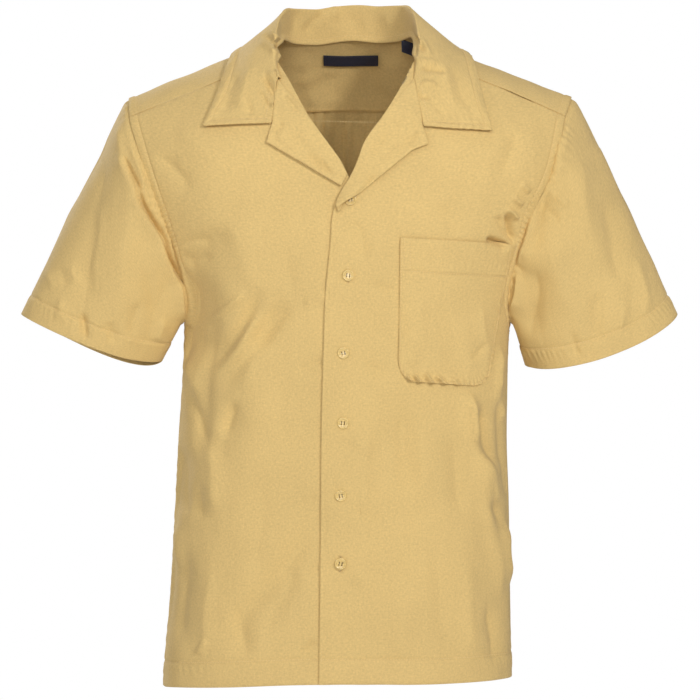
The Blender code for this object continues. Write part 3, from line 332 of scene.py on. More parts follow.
# Smaller creases by the zone of cloth that they are on, in millimetres as seen from the
# front: each runs from one end to the other and reaches this far to its left and its right
# when it is drawn downwards. Minus goes in. A row with no bow is straight.
Crease = namedtuple("Crease", "x1 z1 x2 z2 left_width right_width depth bow", defaults=(0,))
CREASES = {
    "back": (
        (-29, -150, -31, -460, 3, 4, -1.2), (20, -150, 26, -440, 4, 3, -1.2),
        (-16, -160, -20, -300, 4, 4, 0.6), (-32.4, -70, -33.6, -180, 1.4, 1.4, 3.2),
        (-25.2, -70, -25.2, -177, 1.2, 1.2, -1.4), (-18, -71, -18, -180, 1.3, 1.3, 1.4),
        (-10.8, -71, -10.8, -182, 1.2, 1.2, -1.2), (-1.8, -71, -2.4, -184, 1.6, 1.6, -2.6),
        (-6.6, -71, -6.6, -184, 1.2, 1.2, 1.6), (7.2, -71, 7.2, -177, 1.3, 1.3, 1.6),
        (15.6, -71, 15.6, -172, 1.4, 1.4, -1.8), (21.6, -71, 20.4, -170, 1.2, 1.2, 1.6),
        (31.2, -71, 30, -158, 1.4, 1.4, -1.2), (40.8, -70, 39.6, -146, 1.4, 1.4, 1.8),
        (-45.6, -70, -44.4, -146, 2.4, 2.4, 1.4), (-150, -250, -122, -500, 12, 16, -2, 4),
        (142, -240, 124, -470, 16, 12, -2.2, -4), (-92, -180, -60, -400, 14, 10, 1.4, 3),
        (86, -190, 64, -380, 10, 15, 1.5, -3), (-182, -390, -72, -505, 9, 13, -2.2, 8),
        (172, -400, 66, -530, 12, 10, -2.4, -8), (-168, -450, -90, -545, 8, 10, 1.6, 6),
        (160, -350, 90, -450, 9, 9, 1.4, -5), (-176, -560, -150, -720, 12, 14, -1.6),
        (176, -570, 152, -730, 14, 12, -1.6), (-66, -560, -74, -735, 14, 16, 1.3),
        (50, -580, 60, -740, 16, 14, 1.2), (-12, -500, -4, -640, 15, 15, -1),
        (-206, -222, -168, -250, 7, 9, -1.8, 3), (196, -222, 158, -244, 9, 7, -1.8, -3),
        (-198, -262, -160, -310, 10, 12, 1.6, 2), (190, -258, 150, -300, 10, 12, 1.5, -2),
    ),
    "sleeve_right_front": (
        (-288, -78, -326, -352, 20.4, 15.6, -2.4), (-259, -126, -281, -352, 19.2, 19.2, 1.6),
        (-300, -174, -307, -306, 7.2, 8.4, 0.9), (-276, -128, -252, -181, 10.8, 2.4, 2, -2.4),
        (-262, -169, -221, -246, 10.8, 2.4, 2.6, -2.4),
        (-230, -229, -199, -294, 10.8, 2.4, 2.6, -2.4), (-204, -282, -197, -332, 9.6, 2.4, 2),
        (-272, -128, -248, -179, 2.4, 2.4, -2.6, -2.4),
        (-257, -167, -216, -244, 2.6, 2.6, -3.4, -2.4),
        (-226, -227, -194, -292, 2.6, 2.6, -3.2, -2.4), (-264, -114, -244, -181, 2.9, 2.9, 1.2),
        (-321, -320, -316, -356, 4.8, 4.8, -2.6), (-220, -327, -232, -360, 6, 7.2, 1.6),
        (-349, -301, -344, -332, 6, 6, 1.2), (-290, -331, -282, -360, 6, 7.2, -1.2),
        (-364, -269, -355, -293, 3.6, 3.6, 0.9), (-350, -264, -340, -290, 3.6, 3.6, -0.9),
        (-336, -261, -328, -288, 3.6, 3.6, 0.8), (-255, -306, -262, -354, 7.2, 8.4, -1.1),
        (-279, -89, -269, -151, 7.2, 6, 1.4), (-245, -269, -233, -331, 10.8, 9.6, -1.2),
    ),
    "lapel_left": (
        (30, -152, 0, -186, 3.6, 4.8, -1.4, 2), (71, -67, 86, -113, 4.8, 4.8, 1),
        (47, -102, 25, -138, 7.2, 4.8, -0.9), (84, -104, 58, -126, 3.6, 4.1, -0.9),
        (70, -114, 36, -145, 3.6, 3.6, 0.9), (64, -71, 54, -100, 4.8, 4.8, 0.8),
    ),
    "lapel_right": (
        (-81, -57, -62, -81, 3.6, 3.6, -1.1), (-91, -105, -60, -129, 4.8, 6, 1.1),
        (-63, -97, -32, -138, 7.2, 4.8, 0.9), (-55, -128, -21, -159, 3.6, 4.1, -1),
        (-94, -107, -79, -92, 3.6, 3.6, -0.9), (-40, -128, -9, -164, 3.6, 3.6, 0.9),
    ),
    "collar": (
        (-30, 40, -56, 13, 3.6, 4.8, -1.8), (-19, 47, -19, 28, 3, 3.6, 1.6),
        (41, 42, 50, 18, 7.2, 7.2, 1), (-64, 44, -65, 8, 6, 7.2, -1.4),
        (0, 40, 17, 13, 7.2, 7.2, -0.8), (-46, 18, -24, 37, 3.6, 3.6, 1),
        (-106, 13, -78, -16, 2.6, 3.1, -2, 4), (-112, 5, -83, -25, 2.9, 2.6, 1.7, 4),
        (-98, 16, -77, -4, 2.4, 2.4, 1.4, 2), (-106, -37, -90, -66, 2.2, 2.6, -2.1, 2),
        (-100, -30, -85, -61, 2.2, 2.4, 1.7, 2), (-110, -52, -96, -80, 2.4, 2.4, -1.3, 1),
        (-91, -30, -85, -48, 1.9, 1.9, 1.7), (-96, -76, -84, -66, 1.9, 1.9, 1.4),
        (-134, -30, -154, -83, 6, 7.2, -1.2), (-118, -18, -132, -85, 7.2, 7.2, 1.1),
        (-125, -54, -120, -88, 4.8, 4.8, -0.9), (-146, -8, -163, -61, 4.8, 4.8, 0.9),
        (77, 13, 89, -11, 2.2, 2.6, -1.8, 1), (86, 11, 94, -16, 2.6, 2.6, 1.6),
        (72, 1, 84, -25, 2.2, 2.4, 1.3), (82, -28, 116, -36, 2.4, 2.6, -2, 2),
        (84, -44, 108, -50, 2.4, 2.4, 1.7), (79, -59, 98, -64, 2.4, 2.4, -1.3),
        (82, -18, 103, -23, 2.4, 2.4, 1.3), (122, -25, 144, -80, 7.2, 7.2, -1.2),
        (106, -13, 127, -80, 7.2, 7.2, 1.1), (96, -66, 115, -88, 4.8, 4.8, -0.9),
        (139, -30, 158, -85, 4.8, 4.8, 1),
    ),
    "sleeve_left_front": (
        (237, -171, 214, -252, 7.2, 10.8, -3.2, 2), (256, -101, 244, -173, 8.4, 8.4, 1.6),
        (221, -199, 202, -271, 2.4, 10.8, 2.2, -2), (202, -268, 192, -328, 2.4, 9.6, 2.2),
        (225, -260, 218, -354, 12, 13.2, -3.2), (274, -127, 288, -247, 13.2, 13.2, 1.8),
        (305, -175, 327, -295, 13.2, 13.2, -2.2), (252, -222, 252, -330, 15.6, 16.8, 1.8),
        (294, -292, 298, -361, 7.2, 9.6, -1.5), (344, -247, 358, -326, 7.2, 8.4, 1.4),
        (246, -183, 265, -195, 3.6, 4.8, 1.4), (236, -195, 252, -214, 3.6, 4.8, -1.2),
        (332, -306, 324, -349, 6, 6, 1.1), (266, -342, 271, -378, 6, 6, -1.2),
        (284, -72, 301, -127, 7.2, 8.4, -1.2),
    ),
    "pocket": (
        (67, -393, 79, -408, 1.7, 1.7, 1.7), (76, -392, 89, -409, 1.7, 1.9, 2.4),
        (89, -391, 103, -410, 2.2, 1.7, 2.7), (102, -396, 121, -413, 1.9, 1.9, 2.4),
        (119, -398, 138, -414, 2.9, 2.9, 1.5), (68, -343, 75, -389, 7.2, 7.2, 1),
        (107, -298, 136, -411, 13.2, 9.6, -1.4), (158, -306, 165, -385, 6, 4.8, 1.2),
        (84, -294, 89, -366, 10.8, 10.8, 0.8), (144, -378, 166, -354, 4.8, 4.8, -1),
        (63, -306, 70, -378, 4.8, 4.8, -0.9),
    ),
    "front_left": (
        (141, -410, 157, -483, 8.4, 6, 3.4), (157, -483, 181, -559, 8.4, 6, 3.9),
        (182, -556, 190, -654, 7.2, 4.8, 3.4), (154, -427, 174, -511, 7.2, 7.2, -3.6),
        (172, -410, 183, -456, 4.8, 4.8, 2.5), (166, -511, 186, -595, 7.2, 6, -2.5),
        (61, -424, 66, -546, 12, 13.2, -1.8), (83, -426, 90, -570, 12, 13.2, 1.4),
        (178, -360, 178, -426, 3.6, 4.8, 3.1), (190, -200, 196, -241, 3.6, 3.6, -4.2),
        (162, -232, 193, -243, 4.8, 3.6, -4.5, -1), (188, -196, 203, -210, 3.6, 3.6, 2.5),
        (195, -181, 209, -193, 3.6, 3.6, 2.2), (203, -166, 217, -176, 3.6, 3.6, 1.8),
        (177, -204, 191, -235, 6, 4.8, -2), (111, -188, 127, -234, 12, 12, -1.2),
        (28, -211, 38, -343, 15.6, 15.6, 1), (35, -450, 25, -618, 12, 15.6, -1.2),
        (100, -571, 114, -727, 14.4, 18, -1.5), (139, -618, 149, -738, 9.6, 12, 1.4),
        (21, -287, 54, -297, 4.8, 6, -1.1), (15, -381, 48, -400, 4.8, 6, -1.3),
        (-1, -465, 28, -491, 4.8, 7.2, 1.3), (-2, -549, 32, -575, 4.8, 7.2, -1.1),
        (-2, -633, 32, -657, 4.8, 7.2, 1.1), (0, -205, 21, -262, 9.6, 8.4, -1.5),
        (121, -463, 134, -571, 10.8, 10.8, -1.7), (68, -665, 58, -743, 10.8, 12, 1.1),
        (167, -666, 175, -750, 6, 7.2, -2.2), (202, -101, 178, -161, 10.8, 9.6, -1.7, 4),
    ),
    "front_right": (
        (-209, -241, -161, -238, 6, 8.4, -1.1, 5), (-206, -266, -158, -257, 6, 8.4, -1, 5),
        (-200, -261, -185, -393, 26.4, 24, -4.8, 5), (-173, -394, -107, -288, 10.8, 9.6, -3.1, -5),
        (-163, -392, -106, -320, 4.8, 6, 3.1, -4), (-157, -415, -78, -291, 10.8, 10.8, -2.4, -6),
        (-176, -337, -125, -292, 4.8, 4.8, 1.7, -2), (-198, -411, -168, -478, 7.2, 6, -1.9),
        (-200, -374, -181, -417, 4.8, 4.8, 1.4), (-138, -423, -151, -471, 7.2, 6, -1.9),
        (-120, -366, -70, -306, 9.6, 9.6, -2, -4), (-207, -471, -197, -571, 9.6, 10.8, -2.5, 2),
        (-185, -521, -178, -573, 7.2, 8.4, -1.9), (-168, -474, -161, -570, 10.8, 10.8, 1.8),
        (-43, -578, -146, -700, 13.2, 10.8, -2.2, 6), (-62, -617, -108, -713, 10.8, 10.8, -1.7, 4),
        (-221, -450, -227, -726, 3.6, 8.4, 1.7), (-214, -462, -219, -714, 4.8, 6, -2.2),
        (-196, -594, -205, -726, 10.8, 10.8, -2.5), (-167, -618, -177, -738, 9.6, 12, 1.5),
        (-137, -667, -125, -739, 9.6, 9.6, -1.4), (-212, -571, -202, -625, 6, 7.2, 1.7),
        (-152, -195, -116, -309, 16.8, 19.2, 1.6, 6), (-113, -329, -132, -461, 16.8, 19.2, 1.4),
        (-77, -235, -67, -343, 14.4, 14.4, -0.9), (-103, -510, -113, -666, 14.4, 16.8, -1.2),
        (-60, -308, -24, -303, 6, 6, 1), (-64, -393, -28, -379, 4.8, 6, -1.3),
        (-62, -554, -34, -546, 4.8, 6, -1), (-59, -637, -33, -626, 4.8, 6, -1.1),
        (-185, -732, -173, -714, 4.8, 4.8, 1.4), (-60, -732, -41, -714, 4.8, 4.8, -1.3),
        (-233, -130, -190, -178, 9.6, 10.8, -1.7, 4), (-215, -96, -150, -156, 12, 14.4, 0.9, 5),
    ),
    "yoke_front": (
        (180, -49, 228, -66, 8, 8, 0.5), (-240, -76, -168, -47, 8, 8, -0.5),
    ),
    "yoke_inside": (
        (-60, -6, -48, -54, 12, 12, -0.9), (55, -13, 43, -66, 14, 12, -0.9),
        (-24, -32, -17, -71, 16, 12, 0.6),
    ),
    "yoke_back": (
        (-160, -45, -100, -85, 9, 9, 0.8, 2), (165, -47, 95, -82, 9, 11, 0.8, -2),
        (-60, -30, -40, -80, 10, 10, -0.8), (70, -35, 40, -85, 10, 10, -0.8),
    ),
    "sleeve_right_back": (
        (-282, -110, -300, -240, 14, 12, -2.6, 3), (-250, -150, -222, -300, 12, 5, 3, -3),
        (-320, -180, -346, -290, 12, 14, 1.6), (-268, -230, -276, -345, 12, 12, -1.5),
        (-228, -290, -236, -355, 7, 8, 1.4), (-310, -290, -314, -352, 7, 7, -1.2),
    ),
    "sleeve_left_back": (
        (276, -112, 298, -250, 12, 14, -2.4, -3), (246, -150, 214, -300, 5, 12, 2.8, 3),
        (314, -170, 342, -300, 14, 12, 1.5), (262, -235, 268, -350, 12, 12, -1.4),
        (300, -295, 306, -360, 7, 8, 1.1),
    ),
}
HIDDEN_ZONES = ("back", "yoke_back", "yoke_inside", "sleeve_right_back", "sleeve_left_back")
CREASE_TAPER = 0.30
CREASE_PEAK = 1.5
SIDE_CALM = 0.014
SEWN_SIDES = {"front_left": ["right"], "front_right": ["left"], "back": ["left", "right"]}
FACE_FADE = 2.5
WANDER = 0.0012
WANDER_LENGTH = 0.070
RIPPLES = 9
RIPPLE_SHORTEST = 0.036
RIPPLE_LONGEST = 0.130
RIPPLE_STEEPNESS = 0.0036
RIPPLE_CLIMB = 0.45
RIPPLE_SEED = 11
WaveWander = namedtuple("WaveWander", "turns length shift")
WAVE_WANDERS = (WaveWander(0.35, 0.0230, 0.0), WaveWander(0.22, 0.0097, 1.0))
WAVE_FADE = 0.38
WAVE_FADE_LENGTH = 0.031
WAVE_FADE_KEY = 0.0017

# Sewn edges of each piece, in millimetres: how far in the stitches run, how much the
# doubled cloth stands up, the depth of the stitched groove, the height of the puckers with
# their period and reach, and the stretch of the edge that they are on.
Seam = namedtuple("Seam", "edge stitch raised groove pucker period reach start end")
SEAMS = {
    "front_left": (
        ("right", 9, 0.7, 0.9, 0.37, 6.8, 5, 0, 110),
        ("right", 9, 0.6, 0.7, 1.05, 6.6, 5.5, 110, 175),
        ("right", 9, 0.7, 0.9, 0.51, 8, 5, 175, 275),
        ("right", 0, 0, 1.8, 0.68, 17, 10, 290, 800),
        ("bottom", 29, 0.8, 1.2, 0.48, 8.5, 6, 0, 600),
        ("left", 2.4, 0.6, 0.5, 0.25, 9, 4, 170, 900),
        ("left", 6, 1.3, 0, 0, 10, 4, 0, 150),
        ("top", 0, 0, 0.3, 0.3, 9, 5, 0, 400),
    ),
    "front_right": (
        ("left", 9, 0.7, 0.9, 0.37, 6.8, 5, 0, 120),
        ("left", 9, 0.6, 0.7, 1.2, 6.4, 5.5, 120, 180),
        ("left", 9, 0.7, 0.9, 0.51, 8, 5, 180, 275),
        ("left", 0, 0, 1.8, 0.68, 17, 10, 290, 800),
        ("bottom", 29, 0.8, 1.2, 0.5, 8.5, 6, 0, 600),
        ("top", 0, 0, 0.3, 0.3, 9, 5, 0, 400),
    ),
    "back": (
        ("left", 9, 0.7, 0.9, 0.51, 7.5, 5, 0, 275),
        ("right", 9, 0.7, 0.9, 0.51, 7.5, 5, 0, 275),
        ("left", 0, 0, 1.8, 0.68, 17, 10, 290, 800),
        ("right", 0, 0, 1.8, 0.68, 17, 10, 290, 800),
        ("bottom", 29, 0.8, 1.1, 0.77, 9, 6, 0, 900),
        ("top", 0, 0, 0.9, 0.4, 11, 8, 0, 800),
    ),
    "yoke": (
        ("left", 9, 0.7, 0.9, 0.34, 7.5, 5, 0, 400),
        ("right", 9, 0.7, 0.9, 0.34, 7.5, 5, 0, 400),
        ("top", 2.2, 0.7, 0.5, 0.25, 8, 4, 0, 900),
        ("bottom", 2.2, 0.7, 0.6, 0.66, 8.5, 5, 0, 900),
    ),
    "sleeve_left": (
        ("bottom", 25, 0.8, 1.2, 0.42, 8, 6, 0, 900),
        ("top", 0, 0, 0.7, 0.76, 14, 13, 0, 900),
    ),
    "sleeve_right": (
        ("bottom", 25, 0.8, 1.2, 0.42, 8, 6, 0, 900),
        ("top", 0, 0, 0.7, 0.76, 14, 13, 0, 900),
    ),
    "pocket": (
        ("left", 1.6, 0.3, 0.5, 0.25, 7.5, 4, 0, 300),
        ("right", 1.6, 0.3, 0.5, 0.51, 9, 5, 0, 300),
        ("bottom", 1.6, 0.3, 0.6, 0.66, 7.5, 7, 0, 300),
        ("top", 38, 0.7, 0.7, 0.34, 8, 5, 0, 300),
    ),
}
SEAM_STEP = 0.0016
SEAM_END_FADE = 0.020
PUCKER_MIDDLE = 0.7
PUCKER_SLANT = 0.25
MARK_STEP = 0.0015

# Rows of stitches, in millimetres: a steady way in from an edge, over a stretch of it.
Stitching = namedtuple("Stitching", "edge inset start end")
STITCHINGS = {
    "front_left": (
        ("right", 9, 0, 300), ("bottom", 29, 0, 1000), ("left", 2.4, 690, 712),
    ),
    "front_right": (
        ("left", 9, 0, 300), ("bottom", 29, 0, 1000),
    ),
    "back": (
        ("left", 9, 0, 300), ("right", 9, 0, 300), ("bottom", 29, 0, 1000),
    ),
    "yoke": (
        ("left", 9, 0, 1000), ("right", 9, 0, 1000), ("top", 2.2, 0, 1000),
        ("bottom", 2.2, 0, 1000),
    ),
    "sleeve_left": (
        ("bottom", 25, 0, 1000),
    ),
    "sleeve_right": (
        ("bottom", 25, 0, 1000),
    ),
    "pocket": (
        ("top", 38, 0, 1000),
    ),
}

# Kind of row for the estimated cut of a piece: width, length and area. They don't all fit the
# panels.
Cut = namedtuple("Cut", "width length area held on")

TUCK_REACH = 0.0016
TUCK_DEPTH = 0.0008
SIDE_TUCK_REACH = 0.0006
SIDE_TUCK_DEPTH = 0.0010
PLEAT_PRESSED = 0.0006
PLEAT_PRESS_LENGTH = 0.014

SLEEVE_OFF_SEAM = 0.0018
SLEEVE_ABOVE_SEAM = 0.0006
SLEEVE_TUCK_REACH = 0.0028
SLEEVE_TUCK_DEPTH = 0.0020
SLEEVE_TUCK_FADE = 0.009
SLEEVE_AROUND = 0.47
SLEEVE_LONG = 0.27

FOOT_ROWS = 4
FOOT_DEPTH = 0.0030
FOOT_INWARD = 0.0013
FOOT_BULGE = 0.7
FOOT_STEP = 0.0015
FOOT_FADE = 0.30
STAND_ROWS = 10
TURN_ROWS = 8
DOUBLED = {"collar": 0.0020, "lapel_left": 0.0013, "lapel_right": 0.0013}
TURN_FRONT = 1.35
TURN_BACK = 2.9
TURN_WITHIN = 0.60
TURN_LEAST = 0.30
TURN_OPENS = 0.10
TIP_SHARE = 0.25
TIP_BLEND = 0.03
NECK_BAND = 0.0007
NECK_INSET = 0.0066
NECK_STITCHED = (0.09, 0.30)
COLLAR_SIDE_INSET = 0.0098
COLLAR_END_INSET = 0.0060
COLLAR_GROOVE = 0.0008
COLLAR_BAND = 0.0006
COLLAR_PUCKER = 0.00075
COLLAR_PUCKER_PERIOD = 0.0095
COLLAR_PUCKER_REACH = 0.012
COLLAR_CURL = 0.0022
COLLAR_CURL_REACH = 0.010

ROLL_RADIUS = 0.0016
ROLL_INSET = 0.0010
ROLL_UNDER = 0.008
ROLL_ROWS = 7
ROLL_GRAIN = 0.0012
LAPEL_EDGE_RISE = 0.0005
LAPEL_EDGE_IN = 0.0022
LAPEL_CURL = 0.0016
LAPEL_CURL_REACH = 0.012
LAPEL_PUCKER = 0.00040
LAPEL_PUCKER_PERIOD = 0.014

POCKET_EDGE_INSET = 0.0016
POCKET_SHORT_ROWS = (0.0042, 0.0118)

BUTTON_SIDES = 48
HOLE_SIDES = 16
HOLE_BEVEL = 0.0002
BUTTON_SHARP = 40
BUTTON_SPINS = (4, -7, 12, -3, 8, -10)
Turning = namedtuple("Turning", "wide high")
BUTTON_PROFILE = (
    Turning(0.84, 0.00),
    Turning(0.94, 0.10),
    Turning(0.99, 0.32),
    Turning(1.00, 0.55),
    Turning(0.97, 0.82),
    Turning(0.91, 0.97),
    Turning(0.84, 1.00),
    Turning(0.76, 0.94),
    Turning(0.69, 0.80),
    Turning(0.62, BUTTON_WELL / BUTTON_THICKNESS),
)

THREAD_SIDES = 5
STITCH_SHARE = 0.76
Arch = namedtuple("Arch", "along up width")
STITCH_ARCH = (
    Arch(-0.50, -0.00025, 0.60),
    Arch(-0.24, 0.00016, 1.00),
    Arch(0.24, 0.00016, 1.00),
    Arch(0.50, -0.00025, 0.60),
)
THREAD_ARCH = (
    Arch(-0.50, -0.0011, 0.90),
    Arch(-0.34, 0.0, 1.00),
    Arch(0.34, 0.0, 1.00),
    Arch(0.50, -0.0011, 0.90),
)
BUTTON_THREAD_RADIUS = 0.00036
THREAD_SPAN = 1.15
THREAD_PROUD = 0.0003
HOLE_LIFT = 0.0004
BUTTONHOLE_HALF = 0.0095
BAR_PITCH = 0.00045
BAR_LONG = 0.0011
BAR_APART = 0.60
BAR_RADIUS = 0.00022
SLIT_RADIUS = 0.00022
SLIT_SHARE = 0.86

LABEL_COLUMNS = 45
LABEL_ROWS = 14
LABEL_WAVE = 0.0003
LABEL_WAVE_LENGTH = 0.009
LABEL_BOW = 0.0008
LABEL_STITCH_IN = 0.0016
TAB_COLUMNS = 14
TAB_ROWS = 16
TAB_CURL = 0.0008

FLOOR_HEIGHT = -1.45
FLOOR_RADIUS = 4.4
FLOOR_RINGS = 24
FLOOR_SIDES = 96
FLOOR_RIM = 0.02
FLOOR_RIM_FROM = 0.97
Light = namedtuple("Light", "name x y z wide high watts colour")
LIGHTS = (
    Light("key_light", 2.0, -3.1, 1.2, 0.5, 0.5, 69, (1.0, 0.99, 0.97)),
    Light("front_light", -0.3, -4.1, 0.0, 1.2, 1.2, 40, (1.0, 0.99, 0.97)),
    Light("side_light", -2.8, -1.9, 0.9, 0.7, 1.0, 22, (1.0, 0.99, 0.97)),
    Light("neck_light", 0.0, -1.5, 0.75, 0.5, 0.5, 3.6, (1.0, 0.99, 0.97)),
    Light("top_light", 0.0, 0.2, 3.0, 2.0, 1.8, 14, (1.0, 1.0, 1.0)),
    Light("back_light", -1.9, 3.0, 1.3, 0.9, 0.9, 80, (1.0, 0.99, 0.98)),
)

WEFT_SHARE = 0.92
SLUB_SCALE = 560.0
SLUB_STRETCH = 0.55
MOTTLE_SCALE = 14.0
MOTTLE_SHARE = 0.2
WEAVE_TONE = 0.06
POPLIN_DARK = 0.85
POPLIN_LIGHT = 1.13
CRUMPLE_SCALE = 60.0
CRUMPLE_STRETCH = 0.45
CRUMPLE_DEPTH = 0.0016
THREAD_DEPTH = 0.00009
TWIST_SCALE = 900.0
TWIST_DEPTH = 0.00005
SATIN_PITCH = 0.0007
SATIN_DEPTH = 0.00004
SATIN_TONE = 0.15
SATIN_FLECK_SCALE = 900.0
SATIN_FLECK_STRETCH = 6
PEARL_SCALE = 260.0
PEARL_DEPTH = 0.00003
PEARL_STRETCH = 2.5
FLOOR_CLOUD_SCALE = 1.4


def read_smooth(places, values, at):
    """Cubic reading of a rising table that never overshoots its rows."""
    places = np.asarray(places, float)
    values = np.asarray(values, float)
    steps = np.diff(places)
    rises = np.diff(values) / steps
    slopes = np.zeros(len(places))
    inner = rises[:-1] * rises[1:] > 0
    mean = 2 * rises[:-1] * rises[1:] / np.where(inner, rises[:-1] + rises[1:], 1)
    slopes[1:-1] = np.where(inner, mean, 0)
    slopes[0] = rises[0]
    slopes[-1] = rises[-1]
    at = np.clip(np.asarray(at, float), places[0], places[-1])
    row = np.clip(np.searchsorted(places, at) - 1, 0, len(steps) - 1)
    part = (at - places[row]) / steps[row]
    start = (1 + 2 * part) * (1 - part) ** 2
    end = part ** 2 * (3 - 2 * part)
    leave = part * (1 - part) ** 2 * steps[row]
    arrive = -part ** 2 * (1 - part) * steps[row]
    return (start * values[row] + end * values[row + 1]
            + leave * slopes[row] + arrive * slopes[row + 1])


def read_table(rows, column, at, key="height"):
    """Read one column of a table at the given heights or shares."""
    ordered = sorted(rows, key=lambda row: getattr(row, key))
    places = [getattr(row, key) for row in ordered]
    values = [getattr(row, column) for row in ordered]
    return read_smooth(places, values, at)


def smooth_step(value):
    value = np.clip(value, 0, 1)
    return value * value * (3 - 2 * value)


def in_metres(kind, rows):
    """Named rows in metres from a table's rows in millimetres."""
    return [kind(*(item if isinstance(item, str) else item / MILLIMETRES for item in row))
            for row in rows]


def unit(vectors):
    return vectors / np.linalg.norm(vectors, axis=-1, keepdims=True)


def ridge_height(x):
    """Height of the shoulder line at x, rounded where the two slopes meet."""
    return RIDGE_TOP - RIDGE_SLOPE * np.sqrt(x * x + RIDGE_ROUND ** 2)


def depth_share(drop, face):
    """Share of the section's depth that is reached this far below the shoulder."""
    reach = np.where(face < 0, FRONT_DROP, BACK_DROP)
    power = np.where(face < 0, FRONT_DROP_ROUNDNESS, BACK_DROP_ROUNDNESS)
    left = 1 - np.clip(drop / reach, 0, 1)
    return (1 - left ** power) ** (1 / power)


def width_at(height, x):
    return np.where(x > 0, read_table(GIRTHS, "plus_width", height),
                    read_table(GIRTHS, "minus_width", height))


def depth_at(height, face):
    return np.where(face < 0, read_table(GIRTHS, "front", height),
                    read_table(GIRTHS, "back", height))


def body_point(angle, height):
    """Angle 0 is the plus side; negative angles run over the front, positive the back."""
    angle, height = np.broadcast_arrays(np.asarray(angle, float), np.asarray(height, float))
    face = np.where(np.sin(angle) < 0, -1.0, 1.0)
    power = 2 / read_table(GIRTHS, "roundness", height)
    cosine = np.cos(angle)
    x = width_at(height, cosine) * np.sign(cosine) * np.abs(cosine) ** power
    share = depth_share(ridge_height(x) - height, face)
    y = face * depth_at(height, face) * np.abs(np.sin(angle)) ** power * share
    return np.stack([x, y, height], axis=-1)


def shoulder_point(x, turn):
    """Same surface over the shoulder line: turn is 0 on it and negative in front."""
    x, turn = np.broadcast_arrays(np.asarray(x, float), np.asarray(turn, float))
    face = np.where(turn < 0, -1.0, 1.0)
    drop = np.where(face < 0, FRONT_DROP, BACK_DROP) * (1 - np.cos(turn))
    height = ridge_height(x) - drop
    power = read_table(GIRTHS, "roundness", height)
    across = np.clip(np.abs(x) / width_at(height, x), 0, 1)
    section = (1 - across ** power) ** (1 / power)
    y = face * depth_at(height, face) * section * depth_share(drop, face)
    return np.stack([x, y, height], axis=-1)


def turn_at(drop, face):
    """Turn over the shoulder that lies this far below its line."""
    reach = np.where(np.asarray(face) < 0, FRONT_DROP, BACK_DROP)
    return face * np.arccos(1 - np.clip(drop / reach, 0, 1))


def angle_at(x, height, face):
    """Angle of the body point that shows at x and height from the front."""
    x, height = np.broadcast_arrays(np.asarray(x, float), np.asarray(height, float))
    power = read_table(GIRTHS, "roundness", height) / 2
    share = np.clip(np.abs(x) / width_at(height, x), 0, 1) ** power
    return face * np.arccos(np.sign(x) * share)


def surface_normal(point_at, first, second):
    """Outward normal of a surface function by small steps either way."""
    across = point_at(first + NORMAL_STEP, second) - point_at(first - NORMAL_STEP, second)
    down = point_at(first, second - NORMAL_STEP) - point_at(first, second + NORMAL_STEP)
    normal = np.cross(down, across)
    return unit(normal)


def fold_depth(angle, height):
    """Sum of the soft troughs and ridges at a place on the body."""
    total = np.zeros(np.shape(angle))
    for fold in FOLDS:
        start = float(angle_at(fold.x1, fold.z1, fold.face))
        end = float(angle_at(fold.x2, fold.z2, fold.face))
        run = np.array([(end - start) * BODY_RADIUS, fold.z2 - fold.z1])
        off_x = (angle - start) * BODY_RADIUS
        off_z = height - fold.z1
        part = np.clip((off_x * run[0] + off_z * run[1]) / (run @ run), 0, 1)
        away = np.hypot(off_x - part * run[0], off_z - part * run[1])
        total = total + fold.depth * np.exp(-(away / fold.width) ** 2)
    return total


def pleat_depth(x, height):
    """Raised box of the centre back pleat, which opens out and dies away down the back."""
    below = np.maximum(0, BACK_YOKE_HEIGHT - height)
    edge = PLEAT_HALF_WIDTH + PLEAT_SPREAD * below
    across = smooth_step((edge - np.abs(x - PLEAT_MIDDLE)) / PLEAT_FOLD_WIDTH + 0.5)
    return PLEAT_HEIGHT * across * smooth_step(1 - below / PLEAT_LENGTH)


def lap_depth(x, height):
    """Lift of the front that laps over, beside its edge."""
    beside = x - read_table(EDGES, "plus_front_x", height)
    fade = smooth_step((LAP_WIDTH + LAP_FADE - beside) / LAP_FADE)
    return LAP_LIFT * fade * smooth_step((LAP_TOP - height) / LAP_TOP_FADE)


def dressed_point(angle, height, lift=0.0, layer="plain"):
    """Point on the cloth of a panel, with its folds, lifted along the normal."""
    angle, height = np.broadcast_arrays(np.asarray(angle, float), np.asarray(height, float))
    base = body_point(angle, height)
    rise = fold_depth(np.where(angle > math.pi, angle - 2 * math.pi, angle), height) + lift
    if layer == "back":
        rise = rise + pleat_depth(base[..., 0], height)
    if layer == "over":
        rise = rise + lap_depth(base[..., 0], height)
    return base + surface_normal(body_point, angle, height) * rise[..., None]


def upward_normal(x, turn):
    """Normal of the cloth over the shoulder line, which points up and out."""
    normal = surface_normal(shoulder_point, x, turn)
    return normal * np.where(normal[..., 2:3] < 0, -1, 1)


def shoulder_lifted(x, turn, lift=0.0):
    """Point on the yoke, lifted along the normal."""
    x, turn = np.broadcast_arrays(np.asarray(x, float), np.asarray(turn, float))
    lift = np.broadcast_to(np.asarray(lift, float), x.shape)
    return shoulder_point(x, turn) + upward_normal(x, turn) * lift[..., None]


def grid_normals(grid, closed=False):
    """Normals of a grid of points; they point out of rows that run down, left to right."""
    if closed:
        padded = np.concatenate([grid[:, -1:], grid, grid[:, :1]], axis=1)
        across = padded[:, 2:] - padded[:, :-2]
    else:
        across = np.gradient(grid, axis=1)
    normal = np.cross(np.gradient(grid, axis=0), across)
    return unit(normal)


def path_share(points):
    """Share of the way along a line at each of its points."""
    steps = np.linalg.norm(np.diff(points, axis=0), axis=1)
    length = np.concatenate([[0], np.cumsum(steps)])
    return length / length[-1]


